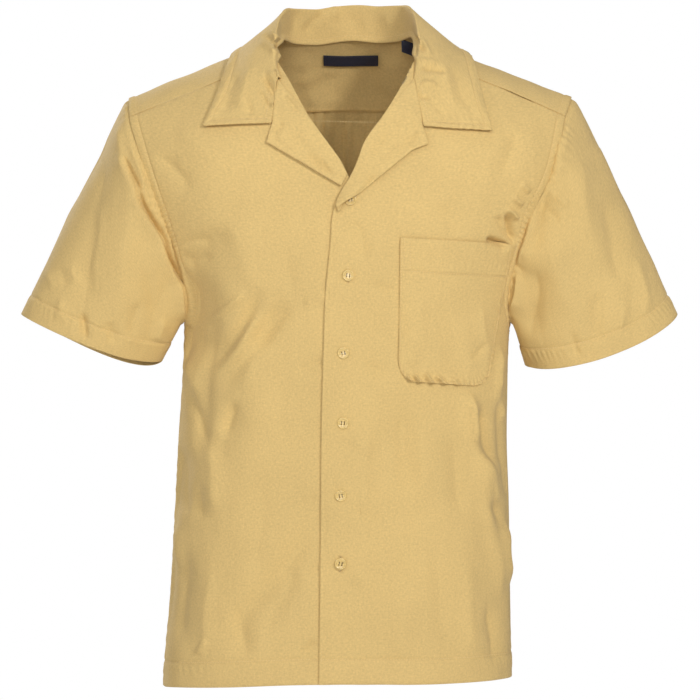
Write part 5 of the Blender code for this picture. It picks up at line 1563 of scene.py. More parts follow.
def add_collar():
    """Collar in one piece: stand up from the neck seam, turn, and fall to its edge."""
    sides = [collar_half(1, FALLS_PLUS, COLLAR_STATIONS),
             collar_half(-1, FALLS_MINUS, COLLAR_STATIONS)]
    grid = np.concatenate([sides[0], sides[1][::-1][1:]])
    normals = -grid_normals(grid)
    panel = Panel("collar", grid + normals * CLOTH / 2, normals, arc_grain(grid)[..., ::-1])
    fall_starts = FOOT_ROWS + STAND_ROWS + TURN_ROWS
    share = np.concatenate([COLLAR_STATIONS, COLLAR_STATIONS[::-1][1:]])
    edge_away, edge_along = panel.beside_edge("right")
    edge_away = np.where(np.arange(grid.shape[1])[None] < fall_starts, 1.0, edge_away)
    inset = COLLAR_SIDE_INSET + (COLLAR_END_INSET - COLLAR_SIDE_INSET) * smooth_step(
        (TIP_SHARE + TIP_BLEND - share) / TIP_BLEND)[:, None]
    groove = -COLLAR_GROOVE * np.exp(-((edge_away - inset) / SEAM_STEP) ** 2)
    band = COLLAR_BAND * smooth_step((inset - edge_away) / SEAM_STEP + 0.5)
    pucker = COLLAR_PUCKER * uneven_wave(edge_along, COLLAR_PUCKER_PERIOD) * np.exp(
        -(edge_away / COLLAR_PUCKER_REACH) ** 2)
    curl = COLLAR_CURL * np.exp(-(edge_away / COLLAR_CURL_REACH) ** 2)
    seam_away, seam_along = panel.beside_edge("left")
    seam_away = np.where(np.arange(grid.shape[1])[None] < fall_starts, seam_away, 1.0)
    seam = NECK_BAND * smooth_step((NECK_INSET - seam_away) / SEAM_STEP + 0.5)
    seam = seam - NECK_BAND * np.exp(-((seam_away - NECK_INSET) / SEAM_STEP) ** 2)
    panel.dress(["collar"], groove + band + pucker + curl + seam)
    panel.stitch(panel.line_in_from("left", NECK_INSET, seam_away, *NECK_STITCHED))
    panel.stitch(panel.line_in_from("right", 0.0, edge_away - inset))
    for edge in ("top", "bottom"):
        away = panel.beside_edge(edge)[0].copy()
        away[edge_away < inset] = 0
        away[:, :fall_starts] = 0
        panel.stitch(panel.line_in_from(edge, COLLAR_END_INSET, away))
    add_cloth(panel)


def polyline(corners):
    """Corners seen from the front, as (angle, height) on the front of the body."""
    x = np.array([corner.x for corner in corners])
    z = np.array([corner.z for corner in corners])
    return np.stack([angle_at(x, z, -1), z], -1)


def roll_under(panel):
    """Roll a lapel's first row round the edge of its front and a little way under it."""
    first = panel.surface[0]
    normal = panel.normals[0]
    toward = first - panel.surface[1]
    toward -= normal * np.sum(toward * normal, axis=1, keepdims=True)
    toward = unit(toward)
    rows = []
    turns = []
    for part in np.linspace(0, math.pi, ROLL_ROWS + 1)[1:]:
        out = ROLL_RADIUS * math.sin(part)
        down = ROLL_RADIUS * (1 - math.cos(part))
        rows.append(first + toward * out - normal * down)
        turns.append(normal * math.cos(part) + toward * math.sin(part))
    for share in (0.5, 1.0):
        rows.append(first - toward * ROLL_UNDER * share - normal * 2 * ROLL_RADIUS)
        turns.append(-normal)
    panel.surface = np.concatenate([np.stack(rows[::-1]), panel.surface])
    panel.normals = np.concatenate([np.stack(turns[::-1]), panel.normals])
    top = panel.grain[0]
    steps = np.arange(len(rows), 0, -1)[:, None] * ROLL_GRAIN
    fresh = np.stack([top[None, :, 0] + steps, top[None, :, 1] + 0 * steps], -1)
    panel.grain = np.concatenate([fresh, panel.grain])


def add_lapel(lapel):
    """Turned-back facing, which rolls over the edge of its front."""
    scale = np.array([BODY_RADIUS, 1])
    column = "plus_front_x" if lapel.side > 0 else "minus_front_x"
    heights = np.linspace(GORGE_HEIGHT - LAPEL_GAP, lapel.break_end.z, LINE_POINTS)
    x = read_table(EDGES, column, heights) + lapel.side * ROLL_INSET
    roll = np.stack([angle_at(x, heights, -1), heights], -1)
    seam = np.concatenate([roll[:1], polyline(lapel.gorge_seam)])
    lower = sample(polyline(lapel.lower_edge) * scale, np.linspace(0, 1, LINE_POINTS)) / scale
    end = np.stack([roll[-1], lower[-1]])
    patch = blend_patch(roll * scale, lower * scale, seam * scale, end * scale,
                        ALONG_LAPEL, DOWN_LAPEL) / scale
    angle, height = patch[..., 0], patch[..., 1]
    lift = LAYER_GAP + LAPEL_OUT_LIFT * DOWN_LAPEL[:, None] + CLOTH + np.zeros(angle.shape)
    zones = ["front_right", lapel.name]
    layer = "plain"
    if lapel.side > 0:
        layer = "over"
        zones = ["front_left", lapel.name]
        away = np.hypot(body_point(angle, height)[..., 0] - BUTTONS[0].x, height - BUTTONS[0].z)
        lift += BUTTON_HUMP * np.exp(-(away / BUTTON_HUMP_WIDTH) ** 2)
    panel = body_panel(lapel.name, patch, layer, lift)
    away, along = panel.beside_edge("bottom")
    ends = panel.beside_edge("left")[0]
    near = np.minimum(away, ends)
    fold = LAPEL_EDGE_RISE * np.exp(-((near - LAPEL_EDGE_IN) / LAPEL_EDGE_IN) ** 2)
    curl = LAPEL_CURL * np.exp(-(away / LAPEL_CURL_REACH) ** 2)
    pucker = LAPEL_PUCKER * uneven_wave(along, LAPEL_PUCKER_PERIOD) * np.exp(
        -(away / LAPEL_CURL_REACH) ** 2)
    panel.dress(zones, fold + curl + pucker)
    roll_under(panel)
    add_cloth(panel)


def pocket_patch():
    """Pocket as (angle, height): straight sides, round lower corners."""
    width = POCKET_TOP[1].x - POCKET_TOP[0].x
    places = ACROSS_POCKET * width
    inside = np.maximum(0, POCKET_CORNER - np.minimum(places, width - places))
    short = POCKET_CORNER - np.sqrt(np.maximum(0, POCKET_CORNER ** 2 - inside ** 2))
    top_x = POCKET_TOP[0].x + ACROSS_POCKET * width
    top_z = POCKET_TOP[0].z + ACROSS_POCKET * (POCKET_TOP[1].z - POCKET_TOP[0].z)
    low_x = POCKET_BOTTOM[0].x + ACROSS_POCKET * (POCKET_BOTTOM[1].x - POCKET_BOTTOM[0].x)
    low_z = POCKET_BOTTOM[0].z + ACROSS_POCKET * (POCKET_BOTTOM[1].z - POCKET_BOTTOM[0].z)
    x = top_x + DOWN_POCKET[:, None] * (low_x - top_x)
    z = top_z + DOWN_POCKET[:, None] * (low_z + short - top_z)
    return np.stack([angle_at(x, z, -1), z], -1)


def add_pocket():
    """Patch pocket with its turned band, edge stitching and two short rows at its corner."""
    panel = body_panel("pocket", pocket_patch(), "over", POCKET_GAP + CLOTH)
    panel.dress(["front_left", "pocket"])
    outline = np.concatenate([panel.base[:, 0], panel.base[-1, 1:], panel.base[-2::-1, -1]])
    away = beside(panel.base, outline)[0]
    for edge in ("left", "bottom", "right"):
        panel.stitch(panel.line_in_from(edge, POCKET_EDGE_INSET, away))
    left_away = panel.beside_edge("left")[0]
    for inset in POCKET_SHORT_ROWS:
        panel.stitch(panel.line_in_from("left", inset, left_away, 0.0, POCKET_BAND))
    panel.stitch_edges()
    add_cloth(panel)


def place_of(place, lift, layer="over"):
    """Point and normal on the front at a place seen from the camera side."""
    angle = angle_at(place.x, place.z, -1)
    return (dressed_point(angle, place.z, lift, layer),
            surface_normal(body_point, angle, np.asarray(place.z)))


def circle(radius, height, sides, centre=(0, 0)):
    turns = [2 * math.pi * k / sides for k in range(sides)]
    return [(centre[0] + radius * math.cos(t), centre[1] + radius * math.sin(t), height)
            for t in turns]


def button_mesh(name):
    """Turned four-hole button with a raised rim and a well, flat on its front."""
    built = bmesh.new()

    def loop(points):
        corners = [built.verts.new(point) for point in points]
        edges = [built.edges.new((corners[k - 1], corners[k])) for k in range(len(corners))]
        return corners, edges

    def bridge(first, second):
        for k in range(len(first)):
            built.faces.new((first[k - 1], first[k], second[k], second[k - 1]))

    rings = [loop(circle(BUTTON_RADIUS * wide, BUTTON_THICKNESS * high, BUTTON_SIDES))
             for wide, high in BUTTON_PROFILE]
    for first, second in zip(rings, rings[1:]):
        bridge(first[0], second[0])
    low_edges, high_edges = list(rings[0][1]), list(rings[-1][1])
    half = BUTTON_HOLE_PITCH / 2
    for centre in ((half, half), (-half, half), (-half, -half), (half, -half)):
        low = loop(circle(BUTTON_HOLE_RADIUS, 0, HOLE_SIDES, centre))
        edge = loop(circle(BUTTON_HOLE_RADIUS, BUTTON_WELL - HOLE_BEVEL, HOLE_SIDES, centre))
        high = loop(circle(BUTTON_HOLE_RADIUS + HOLE_BEVEL, BUTTON_WELL, HOLE_SIDES, centre))
        bridge(low[0], edge[0])
        bridge(edge[0], high[0])
        low_edges += low[1]
        high_edges += high[1]
    for edges in (low_edges, high_edges):
        bmesh.ops.triangle_fill(built, edges=edges, use_beauty=True)
    bmesh.ops.recalc_face_normals(built, faces=built.faces)
    mesh = bpy.data.meshes.new(name)
    built.to_mesh(mesh)
    built.free()
    mesh.shade_smooth()
    mesh.set_sharp_from_angle(angle=math.radians(BUTTON_SHARP))
    return mesh


def add_button(number, place):
    """One button where the solid one is, with the thread that holds it on."""
    name = f"button_{number}"
    mesh = button_mesh(name + "_turned")
    mesh.materials.append(finish("pearl"))
    item = bpy.data.objects.new(name + "_turned", mesh)
    point, normal = place_of(place, BUTTON_GAP)
    turn = Vector(normal).to_track_quat("Z", "Y").to_matrix()
    spin = Matrix.Rotation(math.radians(BUTTON_SPINS[number - 1]), 3, "Z")
    across = turn @ spin
    mesh.transform(Matrix.Translation(point) @ across.to_4x4())
    bpy.context.collection.objects.link(item)
    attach(item, BODY)
    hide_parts(name)
    side = np.array(across @ Vector((1, 0, 0)))
    up = np.array(across @ Vector((0, 1, 0)))
    half = BUTTON_HOLE_PITCH / 2
    centres = [point + side * half * way + normal * (BUTTON_WELL + THREAD_PROUD)
               for way in (-1, 1)]
    # The thread over the holes takes the near-black finish of the buttonhole slits.
    thread = thread_tubes(name + "_thread", np.array(centres), np.array([up, up]),
                          np.array([normal, normal]), BUTTON_HOLE_PITCH * THREAD_SPAN,
                          BUTTON_THREAD_RADIUS, finish("slit"), THREAD_ARCH)


def add_buttonholes():
    """Upright buttonholes behind the buttons: satin bars on both sides of a slit, a near-black
    tube that paints the shade inside the cut.
    """
    centres, ways, ups, slits, slit_ways, slit_ups = [], [], [], [], [], []
    for place in BUTTONS:
        point, normal = place_of(place, HOLE_LIFT)
        down = np.array([0.0, 0.0, -1.0])
        down -= normal * (down @ normal)
        down /= np.linalg.norm(down)
        across = np.cross(normal, down)
        for step in np.arange(-BUTTONHOLE_HALF, BUTTONHOLE_HALF, BAR_PITCH):
            for side in (-1, 1):
                centres.append(point + down * step + across * side * BAR_LONG * BAR_APART)
                ways.append(across)
                ups.append(normal)
        slits.append(point)
        slit_ways.append(down)
        slit_ups.append(normal)
    bars = thread_tubes("buttonhole_bars", np.array(centres), np.array(ways), np.array(ups),
                        BAR_LONG, BAR_RADIUS, finish("thread"))
    # Painted shade: a near-black tube down the middle of each buttonhole stands for the shade
    # inside its cut.
    slit = thread_tubes("buttonhole_slits", np.array(slits), np.array(slit_ways),
                        np.array(slit_ups), 2 * BUTTONHOLE_HALF * SLIT_SHARE, SLIT_RADIUS,
                        finish("slit"))


def add_labels():
    """Bare woven label under the neck seam, and the bare tab that hangs beside it."""
    x, z = np.meshgrid(np.linspace(LABEL_RIGHT, LABEL_LEFT, LABEL_COLUMNS),
                       np.linspace(LABEL_TOP, LABEL_BOTTOM, LABEL_ROWS))
    turn = turn_at(ridge_height(x) - z, 1)
    lift = LABEL_WAVE * np.sin(x / LABEL_WAVE_LENGTH) - LABEL_BOW * smooth_step(
        (LABEL_TOP - z) / (LABEL_TOP - LABEL_BOTTOM))
    near = shoulder_lifted(x, turn, lift - CLOTH - LABEL_GAP - LABEL_THICKNESS)
    label = Panel("neck_label", near[:, ::-1], -upward_normal(x, turn)[:, ::-1],
                  arc_grain(near))
    label.lines = [label.line_in_from(edge, LABEL_STITCH_IN, label.beside_edge(edge)[0])
                   for edge in ("left", "right", "top")]
    fall = np.linspace(0, TAB_HEIGHT, TAB_ROWS)
    x = np.linspace(TAB_LEFT, TAB_RIGHT, TAB_COLUMNS)
    hang = shoulder_point(x, turn_at(np.full(len(x), TAB_DROP), 1))
    hang[:, 2] -= CLOTH + TAB_GAP
    grid = hang[None] - np.array([0, 0, 1]) * fall[:, None, None]
    grid[..., 1] -= TAB_SWING * (fall / TAB_HEIGHT)[:, None] ** 2
    grid[..., 1] -= TAB_CURL * np.sin(math.pi * np.linspace(0, 1, TAB_COLUMNS))[None]
    tab = Panel("size_tab", grid[:, ::-1], grid_normals(grid[:, ::-1]), arc_grain(grid))
    for panel in (label, tab):
        item = add_shell(panel.piece + "_woven", panel, finish("label"), LABEL_THICKNESS)
        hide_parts(panel.piece)
        sewn = []
        if panel.lines:
            sewn = [add_stitches(panel)]
            sewn[0].data.materials[0] = finish("label_thread")


def front_yoke_height(x):
    return ridge_height(x) - FRONT_YOKE_DROP


def back_yoke_height(x):
    return BACK_YOKE_HEIGHT - BACK_YOKE_FALL * (x / SHOULDER_TIP) ** 2


def armhole_x(side, face, height):
    column = "back_width" if face > 0 else ("plus_width" if side > 0 else "minus_width")
    return side * read_table(ARMHOLES, column, height)


def yoke_corner(side, face):
    """Where a yoke seam meets the armhole, as x and height."""
    height = YOKE_CORNER_GUESS
    for _ in range(YOKE_CORNER_ROUNDS):
        x = float(armhole_x(side, face, height))
        height = float(back_yoke_height(x) if face > 0 else front_yoke_height(x))
    return x, height


def side_seam_angle(side, face):
    """Side seams lie a little to the front; the back reaches them past the half turn."""
    if side > 0:
        return -SIDE_SEAM_ANGLE
    return math.pi + SIDE_SEAM_ANGLE if face > 0 else -math.pi + SIDE_SEAM_ANGLE


def hem_height(angle):
    degrees = np.degrees(np.asarray(angle, float)) + 90
    degrees = (degrees + 180) % 360 - 180
    return read_table(HEMS, "height", degrees, "degrees")


def to_body(line):
    """Change a seam from (x, turn) to (angle, height)."""
    points = shoulder_point(line[:, 0], line[:, 1])
    face = np.where(line[:, 1] < 0, -1.0, 1.0)
    return np.stack([angle_at(points[:, 0], points[:, 2], face), points[:, 2]], -1)


class Shade:
    """Node tree of one finish, made socket by socket."""

    def __init__(self, name):
        self.material = bpy.data.materials.new(name)
        self.material.use_nodes = True
        self.nodes = self.material.node_tree.nodes
        self.links = self.material.node_tree.links
        self.shader = self.nodes["Principled BSDF"]

    def add(self, kind, **settings):
        node = self.nodes.new(kind)
        for key, value in settings.items():
            setattr(node, key, value)
        return node

    def join(self, source, target):
        self.links.new(source, target)

    def set(self, **values):
        for key, value in values.items():
            self.shader.inputs[key.replace("_", " ")].default_value = value

    def math(self, operation, first, second=None):
        node = self.add("ShaderNodeMath", operation=operation)
        for socket, value in zip(node.inputs, (first, second)):
            if value is None:
                continue
            if isinstance(value, (int, float)):
                socket.default_value = value
            else:
                self.join(value, socket)
        return node.outputs[0]

    def grain(self):
        """Across and along the threads, in metres of flat cloth."""
        place = self.add("ShaderNodeUVMap", uv_map=GRAIN_LAYER)
        split = self.add("ShaderNodeSeparateXYZ")
        self.join(place.outputs["UV"], split.inputs[0])
        return place.outputs["UV"], split.outputs[0], split.outputs[1]

    def noise(self, vector, scale, detail=2.0, roughness=0.5, stretch=(1, 1, 1)):
        mapping = self.add("ShaderNodeMapping")
        mapping.inputs["Scale"].default_value = stretch
        self.join(vector, mapping.inputs["Vector"])
        node = self.add("ShaderNodeTexNoise")
        node.inputs["Scale"].default_value = scale
        node.inputs["Detail"].default_value = detail
        node.inputs["Roughness"].default_value = roughness
        self.join(mapping.outputs[0], node.inputs["Vector"])
        return node.outputs["Fac"]

    def tint(self, factor, dark, light, low=0.0, high=1.0):
        ramp = self.add("ShaderNodeValToRGB")
        ramp.color_ramp.elements[0].position = low
        ramp.color_ramp.elements[1].position = high
        ramp.color_ramp.elements[0].color = (*dark, 1)
        ramp.color_ramp.elements[1].color = (*light, 1)
        self.join(factor, ramp.inputs["Fac"])
        return ramp.outputs["Color"]

    def bump(self, height, distance, strength=1.0, below=None):
        node = self.add("ShaderNodeBump")
        node.inputs["Distance"].default_value = distance
        node.inputs["Strength"].default_value = strength
        self.join(height, node.inputs["Height"])
        if below is not None:
            self.join(below, node.inputs["Normal"])
        return node.outputs["Normal"]


def shaded(colour, factor):
    return tuple(min(1.0, channel * factor) for channel in colour)


def poplin_finish(name, colour):
    """Plain-weave cotton: crossing threads, slubs, and a dry soft sheen."""
    pitch = bpy.context.scene.shirt_cloth.thread_pitch
    shade = Shade(name)
    place, across, along = shade.grain()
    warp = shade.math("SINE", shade.math("MULTIPLY", across, 2 * math.pi / pitch))
    weft = shade.math("SINE", shade.math("MULTIPLY", along, 2 * math.pi / (pitch * WEFT_SHARE)))
    weave = shade.math("MULTIPLY", warp, weft)
    slub_up = shade.noise(place, SLUB_SCALE, stretch=(SLUB_STRETCH, 1, 1))
    slub_across = shade.noise(place, SLUB_SCALE, stretch=(1, SLUB_STRETCH, 1))
    slubs = shade.math("ADD", slub_up, slub_across)
    objects = shade.add("ShaderNodeTexCoord")
    mottle = shade.noise(objects.outputs["Object"], MOTTLE_SCALE, detail=3.0,
                         roughness=0.55)
    tone = shade.math("ADD", shade.math("MULTIPLY", slubs, 0.5),
                      shade.math("MULTIPLY", weave, WEAVE_TONE))
    tone = shade.math("ADD", shade.math("MULTIPLY", tone, 1 - MOTTLE_SHARE),
                      shade.math("MULTIPLY", mottle, MOTTLE_SHARE))
    shade.join(shade.tint(tone, shaded(colour, POPLIN_DARK), shaded(colour, POPLIN_LIGHT),
                          low=0.30, high=0.70), shade.shader.inputs["Base Color"])
    crumple = shade.noise(objects.outputs["Object"], CRUMPLE_SCALE, detail=3.0,
                          roughness=0.6, stretch=(1, 1, CRUMPLE_STRETCH))
    soft = shade.bump(crumple, CRUMPLE_DEPTH)
    threads = shade.bump(shade.math("ADD", shade.math("MULTIPLY", weave, 0.5), slubs),
                         THREAD_DEPTH, below=soft)
    shade.join(threads, shade.shader.inputs["Normal"])
    shade.set(Roughness=0.82, Specular_IOR_Level=0.22, Sheen_Weight=0.16, Sheen_Roughness=0.45)
    shade.shader.inputs["Sheen Tint"].default_value = (1.0, 0.93, 0.78, 1)
    return shade.material


def thread_finish(name, colour):
    """Twisted sewing thread."""
    shade = Shade(name)
    objects = shade.add("ShaderNodeTexCoord")
    twist = shade.add("ShaderNodeTexWave", bands_direction="DIAGONAL")
    twist.inputs["Scale"].default_value = TWIST_SCALE
    shade.join(objects.outputs["Object"], twist.inputs["Vector"])
    shade.join(shade.tint(twist.outputs["Fac"], shaded(colour, 0.86), shaded(colour, 1.06)),
               shade.shader.inputs["Base Color"])
    shade.join(shade.bump(twist.outputs["Fac"], TWIST_DEPTH), shade.shader.inputs["Normal"])
    shade.set(Roughness=0.62, Specular_IOR_Level=0.35, Sheen_Weight=0.15, Sheen_Roughness=0.4)
    return shade.material


def label_finish(name, colour):
    """Close satin weave of the bare label and tab."""
    shade = Shade(name)
    place, across, along = shade.grain()
    ribs = shade.math("SINE", shade.math("MULTIPLY", shade.math("ADD", across, along),
                                         2 * math.pi / SATIN_PITCH))
    fleck = shade.noise(place, SATIN_FLECK_SCALE, stretch=(1, SATIN_FLECK_STRETCH, 1))
    tone = shade.math("ADD", shade.math("MULTIPLY", ribs, SATIN_TONE), fleck)
    shade.join(shade.tint(tone, shaded(colour, 0.6), shaded(colour, 1.9), low=0.25, high=0.80),
               shade.shader.inputs["Base Color"])
    shade.join(shade.bump(ribs, SATIN_DEPTH), shade.shader.inputs["Normal"])
    shade.set(Roughness=0.48, Specular_IOR_Level=0.45, Sheen_Weight=0.12, Sheen_Roughness=0.35)
    return shade.material


def pearl_finish(name, colour):
    """Polished pearly resin, with cloudy layers of tone."""
    shade = Shade(name)
    objects = shade.add("ShaderNodeTexCoord")
    clouds = shade.noise(objects.outputs["Object"], PEARL_SCALE, detail=4.0,
                         roughness=0.6, stretch=(1, 1, PEARL_STRETCH))
    shade.join(shade.tint(clouds, shaded(colour, 0.82), shaded(colour, 1.16), low=0.34, high=0.66),
               shade.shader.inputs["Base Color"])
    shade.join(shade.bump(clouds, PEARL_DEPTH), shade.shader.inputs["Normal"])
    shade.set(Roughness=0.22, Specular_IOR_Level=0.5, Coat_Weight=0.08, Coat_Roughness=0.12)
    return shade.material


def floor_finish(name, colour):
    """Matt pale studio floor."""
    shade = Shade(name)
    objects = shade.add("ShaderNodeTexCoord")
    cloud = shade.noise(objects.outputs["Object"], FLOOR_CLOUD_SCALE, detail=3.0)
    shade.join(shade.tint(cloud, shaded(colour, 0.985), shaded(colour, 1.01)),
               shade.shader.inputs["Base Color"])
    shade.set(Roughness=0.9, Specular_IOR_Level=0.1)
    return shade.material


def finish(name):
    """Finish of that name, made the first time that it is asked for."""
    known = bpy.data.materials.get("shirt_" + name)
    if known:
        return known
    scene = bpy.context.scene
    makers = {
        "poplin": (poplin_finish, scene.shirt_cloth.colour),
        "thread": (thread_finish, scene.shirt_sewing.colour),
        # The slit finish paints shade: near-black for the shade inside each buttonhole's cut, and
        # it is also used for the buttons' thread.
        "slit": (thread_finish, scene.shirt_sewing.slit_shade_and_thread_colour),
        "pearl": (pearl_finish, scene.shirt_buttons.colour),
        "label": (label_finish, scene.shirt_labels.colour),
        "label_thread": (thread_finish, scene.shirt_labels.thread_colour),
        "floor": (floor_finish, scene.shirt_stage.floor_colour),
    }
    maker, colour = makers[name]
    return maker("shirt_" + name, tuple(colour))


def add_floor():
    """Round pale floor under the shirt, with a soft raised rim."""
    points = [(0.0, 0.0, FLOOR_HEIGHT)]
    for ring in range(1, FLOOR_RINGS + 1):
        share = ring / FLOOR_RINGS
        lift = FLOOR_RIM * smooth_step((share - FLOOR_RIM_FROM) / (1 - FLOOR_RIM_FROM))
        points += circle(FLOOR_RADIUS * share, FLOOR_HEIGHT + float(lift), FLOOR_SIDES)
    faces = [[0, 1 + k, 1 + (k + 1) % FLOOR_SIDES] for k in range(FLOOR_SIDES)]
    for ring in range(FLOOR_RINGS - 1):
        low = 1 + ring * FLOOR_SIDES
        for k in range(FLOOR_SIDES):
            after = (k + 1) % FLOOR_SIDES
            faces.append([low + k, low + FLOOR_SIDES + k, low + FLOOR_SIDES + after, low + after])
    mesh = bpy.data.meshes.new("studio_floor")
    mesh.from_pydata(points, [], faces)
    mesh.shade_smooth()
    mesh.materials.append(finish("floor"))
    item = bpy.data.objects.new("studio_floor", mesh)
    bpy.context.collection.objects.link(item)


def add_light(row, strength):
    """Large soft light that faces the middle of the shirt."""
    light = bpy.data.lights.new(row.name, "AREA")
    light.shape = "RECTANGLE"
    light.size = row.wide
    light.size_y = row.high
    light.energy = row.watts * strength
    light.color = row.colour
    item = bpy.data.objects.new(row.name, light)
    item.location = (row.x, row.y, row.z)
    aim = Vector((0, 0, CAMERA_HEIGHT)) - item.location
    item.rotation_mode = "QUATERNION"
    item.rotation_quaternion = aim.to_track_quat("-Z", "Y")
    bpy.context.collection.objects.link(item)


def add_world(fill, backdrop):
    """Even pale surroundings: one strength as light, another where they are seen."""
    world = bpy.data.worlds.new("studio")
    world.use_nodes = True
    nodes, links = world.node_tree.nodes, world.node_tree.links
    nodes.clear()
    light = nodes.new("ShaderNodeBackground")
    light.inputs["Color"].default_value = (1.0, 0.985, 0.965, 1)
    light.inputs["Strength"].default_value = fill
    seen = nodes.new("ShaderNodeBackground")
    seen.inputs["Color"].default_value = (1, 1, 1, 1)
    seen.inputs["Strength"].default_value = backdrop
    path = nodes.new("ShaderNodeLightPath")
    mix = nodes.new("ShaderNodeMixShader")
    output = nodes.new("ShaderNodeOutputWorld")
    links.new(path.outputs["Is Camera Ray"], mix.inputs[0])
    links.new(light.outputs[0], mix.inputs[1])
    links.new(seen.outputs[0], mix.inputs[2])
    links.new(mix.outputs[0], output.inputs["Surface"])
    bpy.context.scene.world = world


def add_camera():
    camera = bpy.data.cameras.new("camera")
    camera.lens = CAMERA_LENS
    camera.sensor_width = SENSOR
    camera.clip_end = 60
    item = bpy.data.objects.new("camera", camera)
    item.location = (0, -CAMERA_AWAY, CAMERA_HEIGHT)
    item.rotation_euler = (math.pi / 2, 0, 0)
    bpy.context.collection.objects.link(item)
    bpy.context.scene.camera = item


class ShirtCloth(bpy.types.PropertyGroup):
    """Poplin of the shirt."""

    colour: bpy.props.FloatVectorProperty(
        name="Colour", description="Colour of the poplin", subtype="COLOR", size=3,
        min=0, max=1, default=(0.700, 0.499, 0.202))
    thickness: bpy.props.FloatProperty(
        name="Thickness", description="Thickness of one layer of cloth", unit="LENGTH",
        min=0.0004, max=0.002, default=0.0009, precision=5)
    thread_pitch: bpy.props.FloatProperty(
        name="Thread pitch", description="Distance from thread to thread", unit="LENGTH",
        min=0.0002, max=0.002, default=0.0005, precision=5)
    crease_depth: bpy.props.FloatProperty(
        name="Crease depth", description="How many times the table's depths the creases are",
        min=0, max=4, default=2.5)


class ShirtSewing(bpy.types.PropertyGroup):
    """Thread and stitches."""

    colour: bpy.props.FloatVectorProperty(
        name="Thread colour", description="Colour of the sewing thread", subtype="COLOR",
        size=3, min=0, max=1, default=(0.760, 0.560, 0.260))
    # Near-black colour painted on the tube down each buttonhole's cut, as the shade inside it; the
    # buttons' thread takes the same colour.
    slit_shade_and_thread_colour: bpy.props.FloatVectorProperty(
        name="Slit colour", description="Buttonhole slits and buttons' thread", subtype="COLOR",
        size=3, min=0, max=1, default=(0.090, 0.055, 0.020))
    pitch: bpy.props.FloatProperty(
        name="Stitch pitch", description="Distance from stitch to stitch", unit="LENGTH",
        min=0.001, max=0.01, default=0.0031, precision=5)
    thread_radius: bpy.props.FloatProperty(
        name="Thread radius", description="Half of the thread's width", unit="LENGTH",
        min=0.0001, max=0.001, default=0.00034, precision=5)


class ShirtButtons(bpy.types.PropertyGroup):
    """Pearly buttons."""

    colour: bpy.props.FloatVectorProperty(
        name="Button colour", description="Colour of the buttons", subtype="COLOR", size=3,
        min=0, max=1, default=(0.700, 0.500, 0.185))


class ShirtLabels(bpy.types.PropertyGroup):
    """Bare neck label and size tab."""

    colour: bpy.props.FloatVectorProperty(
        name="Label colour", description="Colour of the label and the tab", subtype="COLOR",
        size=3, min=0, max=1, default=(0.012, 0.013, 0.026))
    thread_colour: bpy.props.FloatVectorProperty(
        name="Label thread colour", description="Thread that holds the label on",
        subtype="COLOR", size=3, min=0, max=1, default=(0.030, 0.030, 0.050))


class ShirtStage(bpy.types.PropertyGroup):
    """Studio round the shirt."""

    floor_colour: bpy.props.FloatVectorProperty(
        name="Floor colour", description="Colour of the studio floor", subtype="COLOR", size=3,
        min=0, max=1, default=(0.86, 0.85, 0.83))
    light_strength: bpy.props.FloatProperty(
        name="Light strength", description="Share of the soft lights' full power",
        subtype="FACTOR", min=0, max=3, default=1.0)
    fill: bpy.props.FloatProperty(
        name="Fill", description="Light from all round", min=0, max=2, default=0.165)
    backdrop: bpy.props.FloatProperty(
        name="Backdrop", description="Brightness of the backdrop as it is seen", min=0,
        max=2, default=1.0)


class SHIRT_OT_fronts(bpy.types.Operator):
    """Make both fronts with their hems and armhole stitching"""

    bl_idname = "shirt.fronts"
    bl_label = "Fronts"

    def execute(self, context):
        for side in (1, -1):
            add_front(side)
        return {"FINISHED"}


class SHIRT_OT_back(bpy.types.Operator):
    """Make the back with its box pleat"""

    bl_idname = "shirt.back"
    bl_label = "Back"

    def execute(self, context):
        add_back()
        return {"FINISHED"}


class SHIRT_OT_yoke(bpy.types.Operator):
    """Make the yoke over both shoulders"""

    bl_idname = "shirt.yoke"
    bl_label = "Yoke"

    def execute(self, context):
        add_yoke()
        return {"FINISHED"}


class SHIRT_OT_sleeves(bpy.types.Operator):
    """Make both short sleeves"""

    bl_idname = "shirt.sleeves"
    bl_label = "Sleeves"

    def execute(self, context):
        for name in SLEEVES:
            add_sleeve(name)
        return {"FINISHED"}


class SHIRT_OT_collar(bpy.types.Operator):
    """Make the collar, stand and fall in one"""

    bl_idname = "shirt.collar"
    bl_label = "Collar"

    def execute(self, context):
        add_collar()
        return {"FINISHED"}


class SHIRT_OT_lapels(bpy.types.Operator):
    """Make the two turned-back lapels"""

    bl_idname = "shirt.lapels"
    bl_label = "Lapels"

    def execute(self, context):
        for lapel in LAPELS:
            add_lapel(lapel)
        return {"FINISHED"}


class SHIRT_OT_pocket(bpy.types.Operator):
    """Make the chest pocket"""

    bl_idname = "shirt.pocket"
    bl_label = "Pocket"

    def execute(self, context):
        add_pocket()
        return {"FINISHED"}


class SHIRT_OT_buttons(bpy.types.Operator):
    """Make the buttons, their thread and the buttonholes"""

    bl_idname = "shirt.buttons"
    bl_label = "Buttons"

    def execute(self, context):
        for number, place in enumerate(BUTTONS, 1):
            add_button(number, place)
        add_buttonholes()
        return {"FINISHED"}


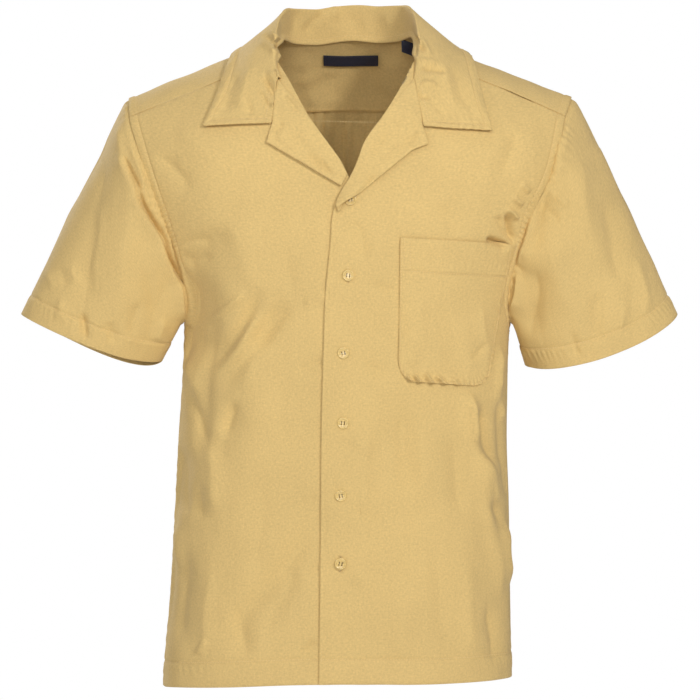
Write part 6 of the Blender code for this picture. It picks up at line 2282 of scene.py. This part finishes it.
class SHIRT_OT_labels(bpy.types.Operator):
    """Make the bare neck label and size tab"""

    bl_idname = "shirt.labels"
    bl_label = "Labels"

    def execute(self, context):
        add_labels()
        return {"FINISHED"}


class SHIRT_OT_stage(bpy.types.Operator):
    """Set up the floor, the soft lights and the camera"""

    bl_idname = "shirt.stage"
    bl_label = "Studio"

    def execute(self, context):
        stage = context.scene.shirt_stage
        add_floor()
        for row in LIGHTS:
            add_light(row, stage.light_strength)
        add_world(stage.fill, stage.backdrop)
        add_camera()
        context.scene.view_settings.view_transform = "Standard"
        return {"FINISHED"}


OPERATORS = (SHIRT_OT_stage, SHIRT_OT_fronts, SHIRT_OT_back, SHIRT_OT_yoke, SHIRT_OT_sleeves,
             SHIRT_OT_collar, SHIRT_OT_lapels, SHIRT_OT_pocket, SHIRT_OT_buttons,
             SHIRT_OT_labels)
GROUPS = {
    "shirt_cloth": ShirtCloth,
    "shirt_sewing": ShirtSewing,
    "shirt_buttons": ShirtButtons,
    "shirt_labels": ShirtLabels,
    "shirt_stage": ShirtStage,
}


class SHIRT_PT_panel(bpy.types.Panel):
    """Sidebar panel with the shirt's sizes, colours and steps"""

    bl_idname = "SHIRT_PT_panel"
    bl_label = "Camp Shirt"
    bl_space_type = "VIEW_3D"
    bl_region_type = "UI"
    bl_category = "Camp Shirt"

    def draw(self, context):
        for name in GROUPS:
            box = self.layout.box()
            group = getattr(context.scene, name)
            for key in group.bl_rna.properties.keys():
                if key not in ("rna_type", "name"):
                    box.prop(group, key)
        for operator in OPERATORS:
            self.layout.operator(operator.bl_idname)


def register():
    for group in (*GROUPS.values(), *OPERATORS, SHIRT_PT_panel):
        bpy.utils.register_class(group)
    for name, group in GROUPS.items():
        setattr(bpy.types.Scene, name, bpy.props.PointerProperty(type=group))


def unregister():
    for name in GROUPS:
        delattr(bpy.types.Scene, name)
    for group in reversed((*GROUPS.values(), *OPERATORS, SHIRT_PT_panel)):
        bpy.utils.unregister_class(group)


def main():
    register()
    for operator in OPERATORS:
        family, step = operator.bl_idname.split(".")
        getattr(getattr(bpy.ops, family), step)()


if __name__ == "__main__":
    main()
